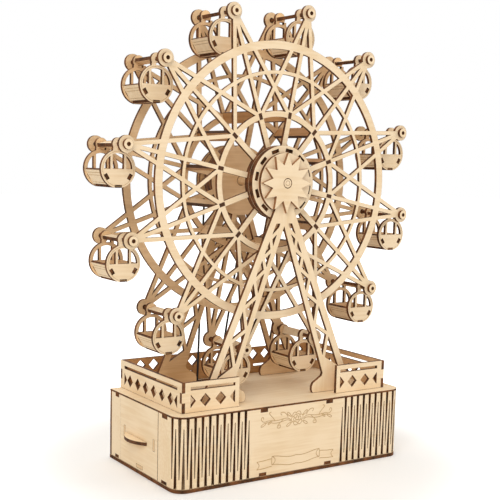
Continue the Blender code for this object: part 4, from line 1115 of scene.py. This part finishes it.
class FrontOrnament(bpy.types.Operator):
    """Draw the scrolls, the rosette and the ribbon on the front wall."""

    bl_idname = "ferris.ornament"
    bl_label = "Front ornament"

    def execute(self, context):
        size = context.scene.ferris_base
        lines = [engraved_path(points, side) for points in SCROLLS for side in (-1, 1)]
        for petals, reach, near in ROSETTE:
            step = 2 * math.pi / petals
            shape = ((near, 0.0), (reach, 0.05), (reach * 1.15, 0.5), (reach, 0.95), (near, 1.05))
            for petal in range(petals):
                turn = step * petal + reach / 10
                spots = ((radius, turn + step * share) for radius, share in shape)
                lines.append(engraved_path([polar(*spot, ROSETTE_MIDDLE) for spot in spots]))
        drawing = join(lines)
        drawing.scale = (1.0, 1.0, STROKE_FLAT)
        apply_place(drawing)
        single(drawing, bpy.data.materials["engraved_line"])
        stand(drawing, (size.middle_x, size.middle_y - size.deep / 2 + size.step_in, 0.0))
        finish(drawing, "front_engraving", "base", "basswood")
        return {"FINISHED"}


class Stage(bpy.types.Operator):
    """Set the floor, the lamps and the camera."""

    bl_idname = "ferris.stage"
    bl_label = "Stage"

    def execute(self, context):
        make_floor()
        make_lights(context)
        make_camera(context)
        return {"FINISHED"}


def make_floor():
    """White floor that takes a faint shadow near the object and fades into the background."""
    clear_selection()
    bpy.ops.mesh.primitive_plane_add(size=12.0, location=(0.0, 0.0, -0.0003))
    floor = bpy.context.object
    floor.name = "floor"
    made, tree, shader = new_material("white_floor")
    set_inputs(shader, {"Base Color": (0.9, 0.9, 0.9, 1.0), "Emission Color": (1.0, 1.0, 1.0, 1.0)})
    set_inputs(shader, {"Roughness": 0.9, "Specular IOR Level": 0.0})
    path = tree.nodes.new("ShaderNodeLightPath")
    distance = vector_math(tree, "LENGTH", object_place(tree)).outputs["Value"]
    fade = map_range(tree, distance, *FLOOR_FADE, *FLOOR_GLOW)
    fade.interpolation_type = "SMOOTHSTEP"
    glow = calculate(tree, "MULTIPLY", path.outputs["Is Camera Ray"], fade.outputs["Result"])
    tree.links.new(glow, shader.inputs["Emission Strength"])
    single(floor, made)


def add_lamp(name, place, energy, size, tint):
    light = bpy.data.lights.new(name, "AREA")
    light.energy = energy
    light.size = size
    light.color = tint
    lamp = bpy.data.objects.new(name, light)
    bpy.context.scene.collection.objects.link(lamp)
    lamp.location = place
    lamp.rotation_euler = (Vector(LAMP_TARGET) - Vector(place)).to_track_quat("-Z", "Y").to_euler()


def make_lights(context):
    """Three soft lamps, and a sky that is white to the camera and warm to the object."""
    world = bpy.data.worlds.new("studio")
    world.use_nodes = True
    context.scene.world = world
    tree = world.node_tree
    sky = tree.nodes["Background"]
    path = tree.nodes.new("ShaderNodeLightPath")
    seen = calculate(tree, "MAXIMUM", path.outputs["Is Camera Ray"], path.outputs["Is Glossy Ray"])
    strength = map_range(tree, seen, 0.0, 1.0, *SKY_STRENGTH)
    tree.links.new(strength.outputs["Result"], sky.inputs["Strength"])
    tree.links.new(colour_ramp(tree, seen, SKY_TINTS), sky.inputs["Color"])
    for lamp in LAMPS:
        add_lamp(*lamp)


def make_camera(context):
    """Camera fitted to the photo."""
    yaw, pitch, roll = CAMERA_TURN
    level = math.cos(pitch)
    ahead = Vector((math.sin(yaw) * level, math.cos(yaw) * level, math.sin(pitch)))
    right = Vector((math.cos(yaw), -math.sin(yaw), 0.0))
    up = right.cross(ahead)
    turned_right = right * math.cos(roll) + up * math.sin(roll)
    turned_up = up * math.cos(roll) - right * math.sin(roll)
    data = bpy.data.cameras.new("photo_camera")
    data.sensor_width = 36.0
    data.lens = CAMERA_LENS
    data.shift_x, data.shift_y = CAMERA_SHIFT
    camera = bpy.data.objects.new("photo_camera", data)
    context.scene.collection.objects.link(camera)
    camera.rotation_euler = Matrix((turned_right, turned_up, -ahead)).transposed().to_euler()
    camera.location = CAMERA_PLACE
    context.scene.camera = camera
    context.scene.view_settings.view_transform = "Standard"


class Materials(bpy.types.Operator):
    """Make the wood finishes that the modelled pieces share."""

    bl_idname = "ferris.materials"
    bl_label = "Finishes"

    def execute(self, context):
        look = context.scene.ferris_look
        wood("pale_wood", look.pale_grain, look.pale)
        wood("tan_wood", look.tan_grain, look.tan)
        burnt_edge("burnt_edge", look)
        plain("engraved_line", look.engraved, 0.7)
        wood("star_wood", look.pale_grain, look.pale, scorch=0.45)
        plain("star_edge", look.star, 0.75)
        # Painted shadow for the back faces of the hub plies.
        wood("painted_shadow_wood", look.painted_shadow_grain, look.shade)
        return {"FINISHED"}


class FerrisPanel(bpy.types.Panel):
    """Operators of the ferris wheel in the sidebar."""

    bl_idname = "VIEW3D_PT_ferris"
    bl_label = "Ferris wheel music box"
    bl_space_type = "VIEW_3D"
    bl_region_type = "UI"
    bl_category = "Ferris wheel"

    def draw(self, context):
        for operator in OPERATORS:
            self.layout.operator(operator.bl_idname)


WHEEL_STEPS = (RimPair, HubPair, HeadCaps, CabinSet, WheelPulley)
OPERATORS = (Materials, PackedPaint, BaseBox, FrontOrnament, *WHEEL_STEPS, Stage)
GROUPS = {
    "ferris_wheel": WheelSizes,
    "ferris_cabin": CabinSizes,
    "ferris_base": BaseSizes,
    "ferris_look": WoodLook,
}


def register():
    for made in (*GROUPS.values(), *OPERATORS, FerrisPanel):
        bpy.utils.register_class(made)
    for name, group in GROUPS.items():
        setattr(bpy.types.Scene, name, bpy.props.PointerProperty(type=group))


def unregister():
    for name in GROUPS:
        delattr(bpy.types.Scene, name)
    for made in reversed((*GROUPS.values(), *OPERATORS, FerrisPanel)):
        bpy.utils.unregister_class(made)


def main():
    register()
    for operator in OPERATORS:
        group, name = operator.bl_idname.split(".")
        getattr(getattr(bpy.ops, group), name)()


if __name__ == "__main__":
    main()
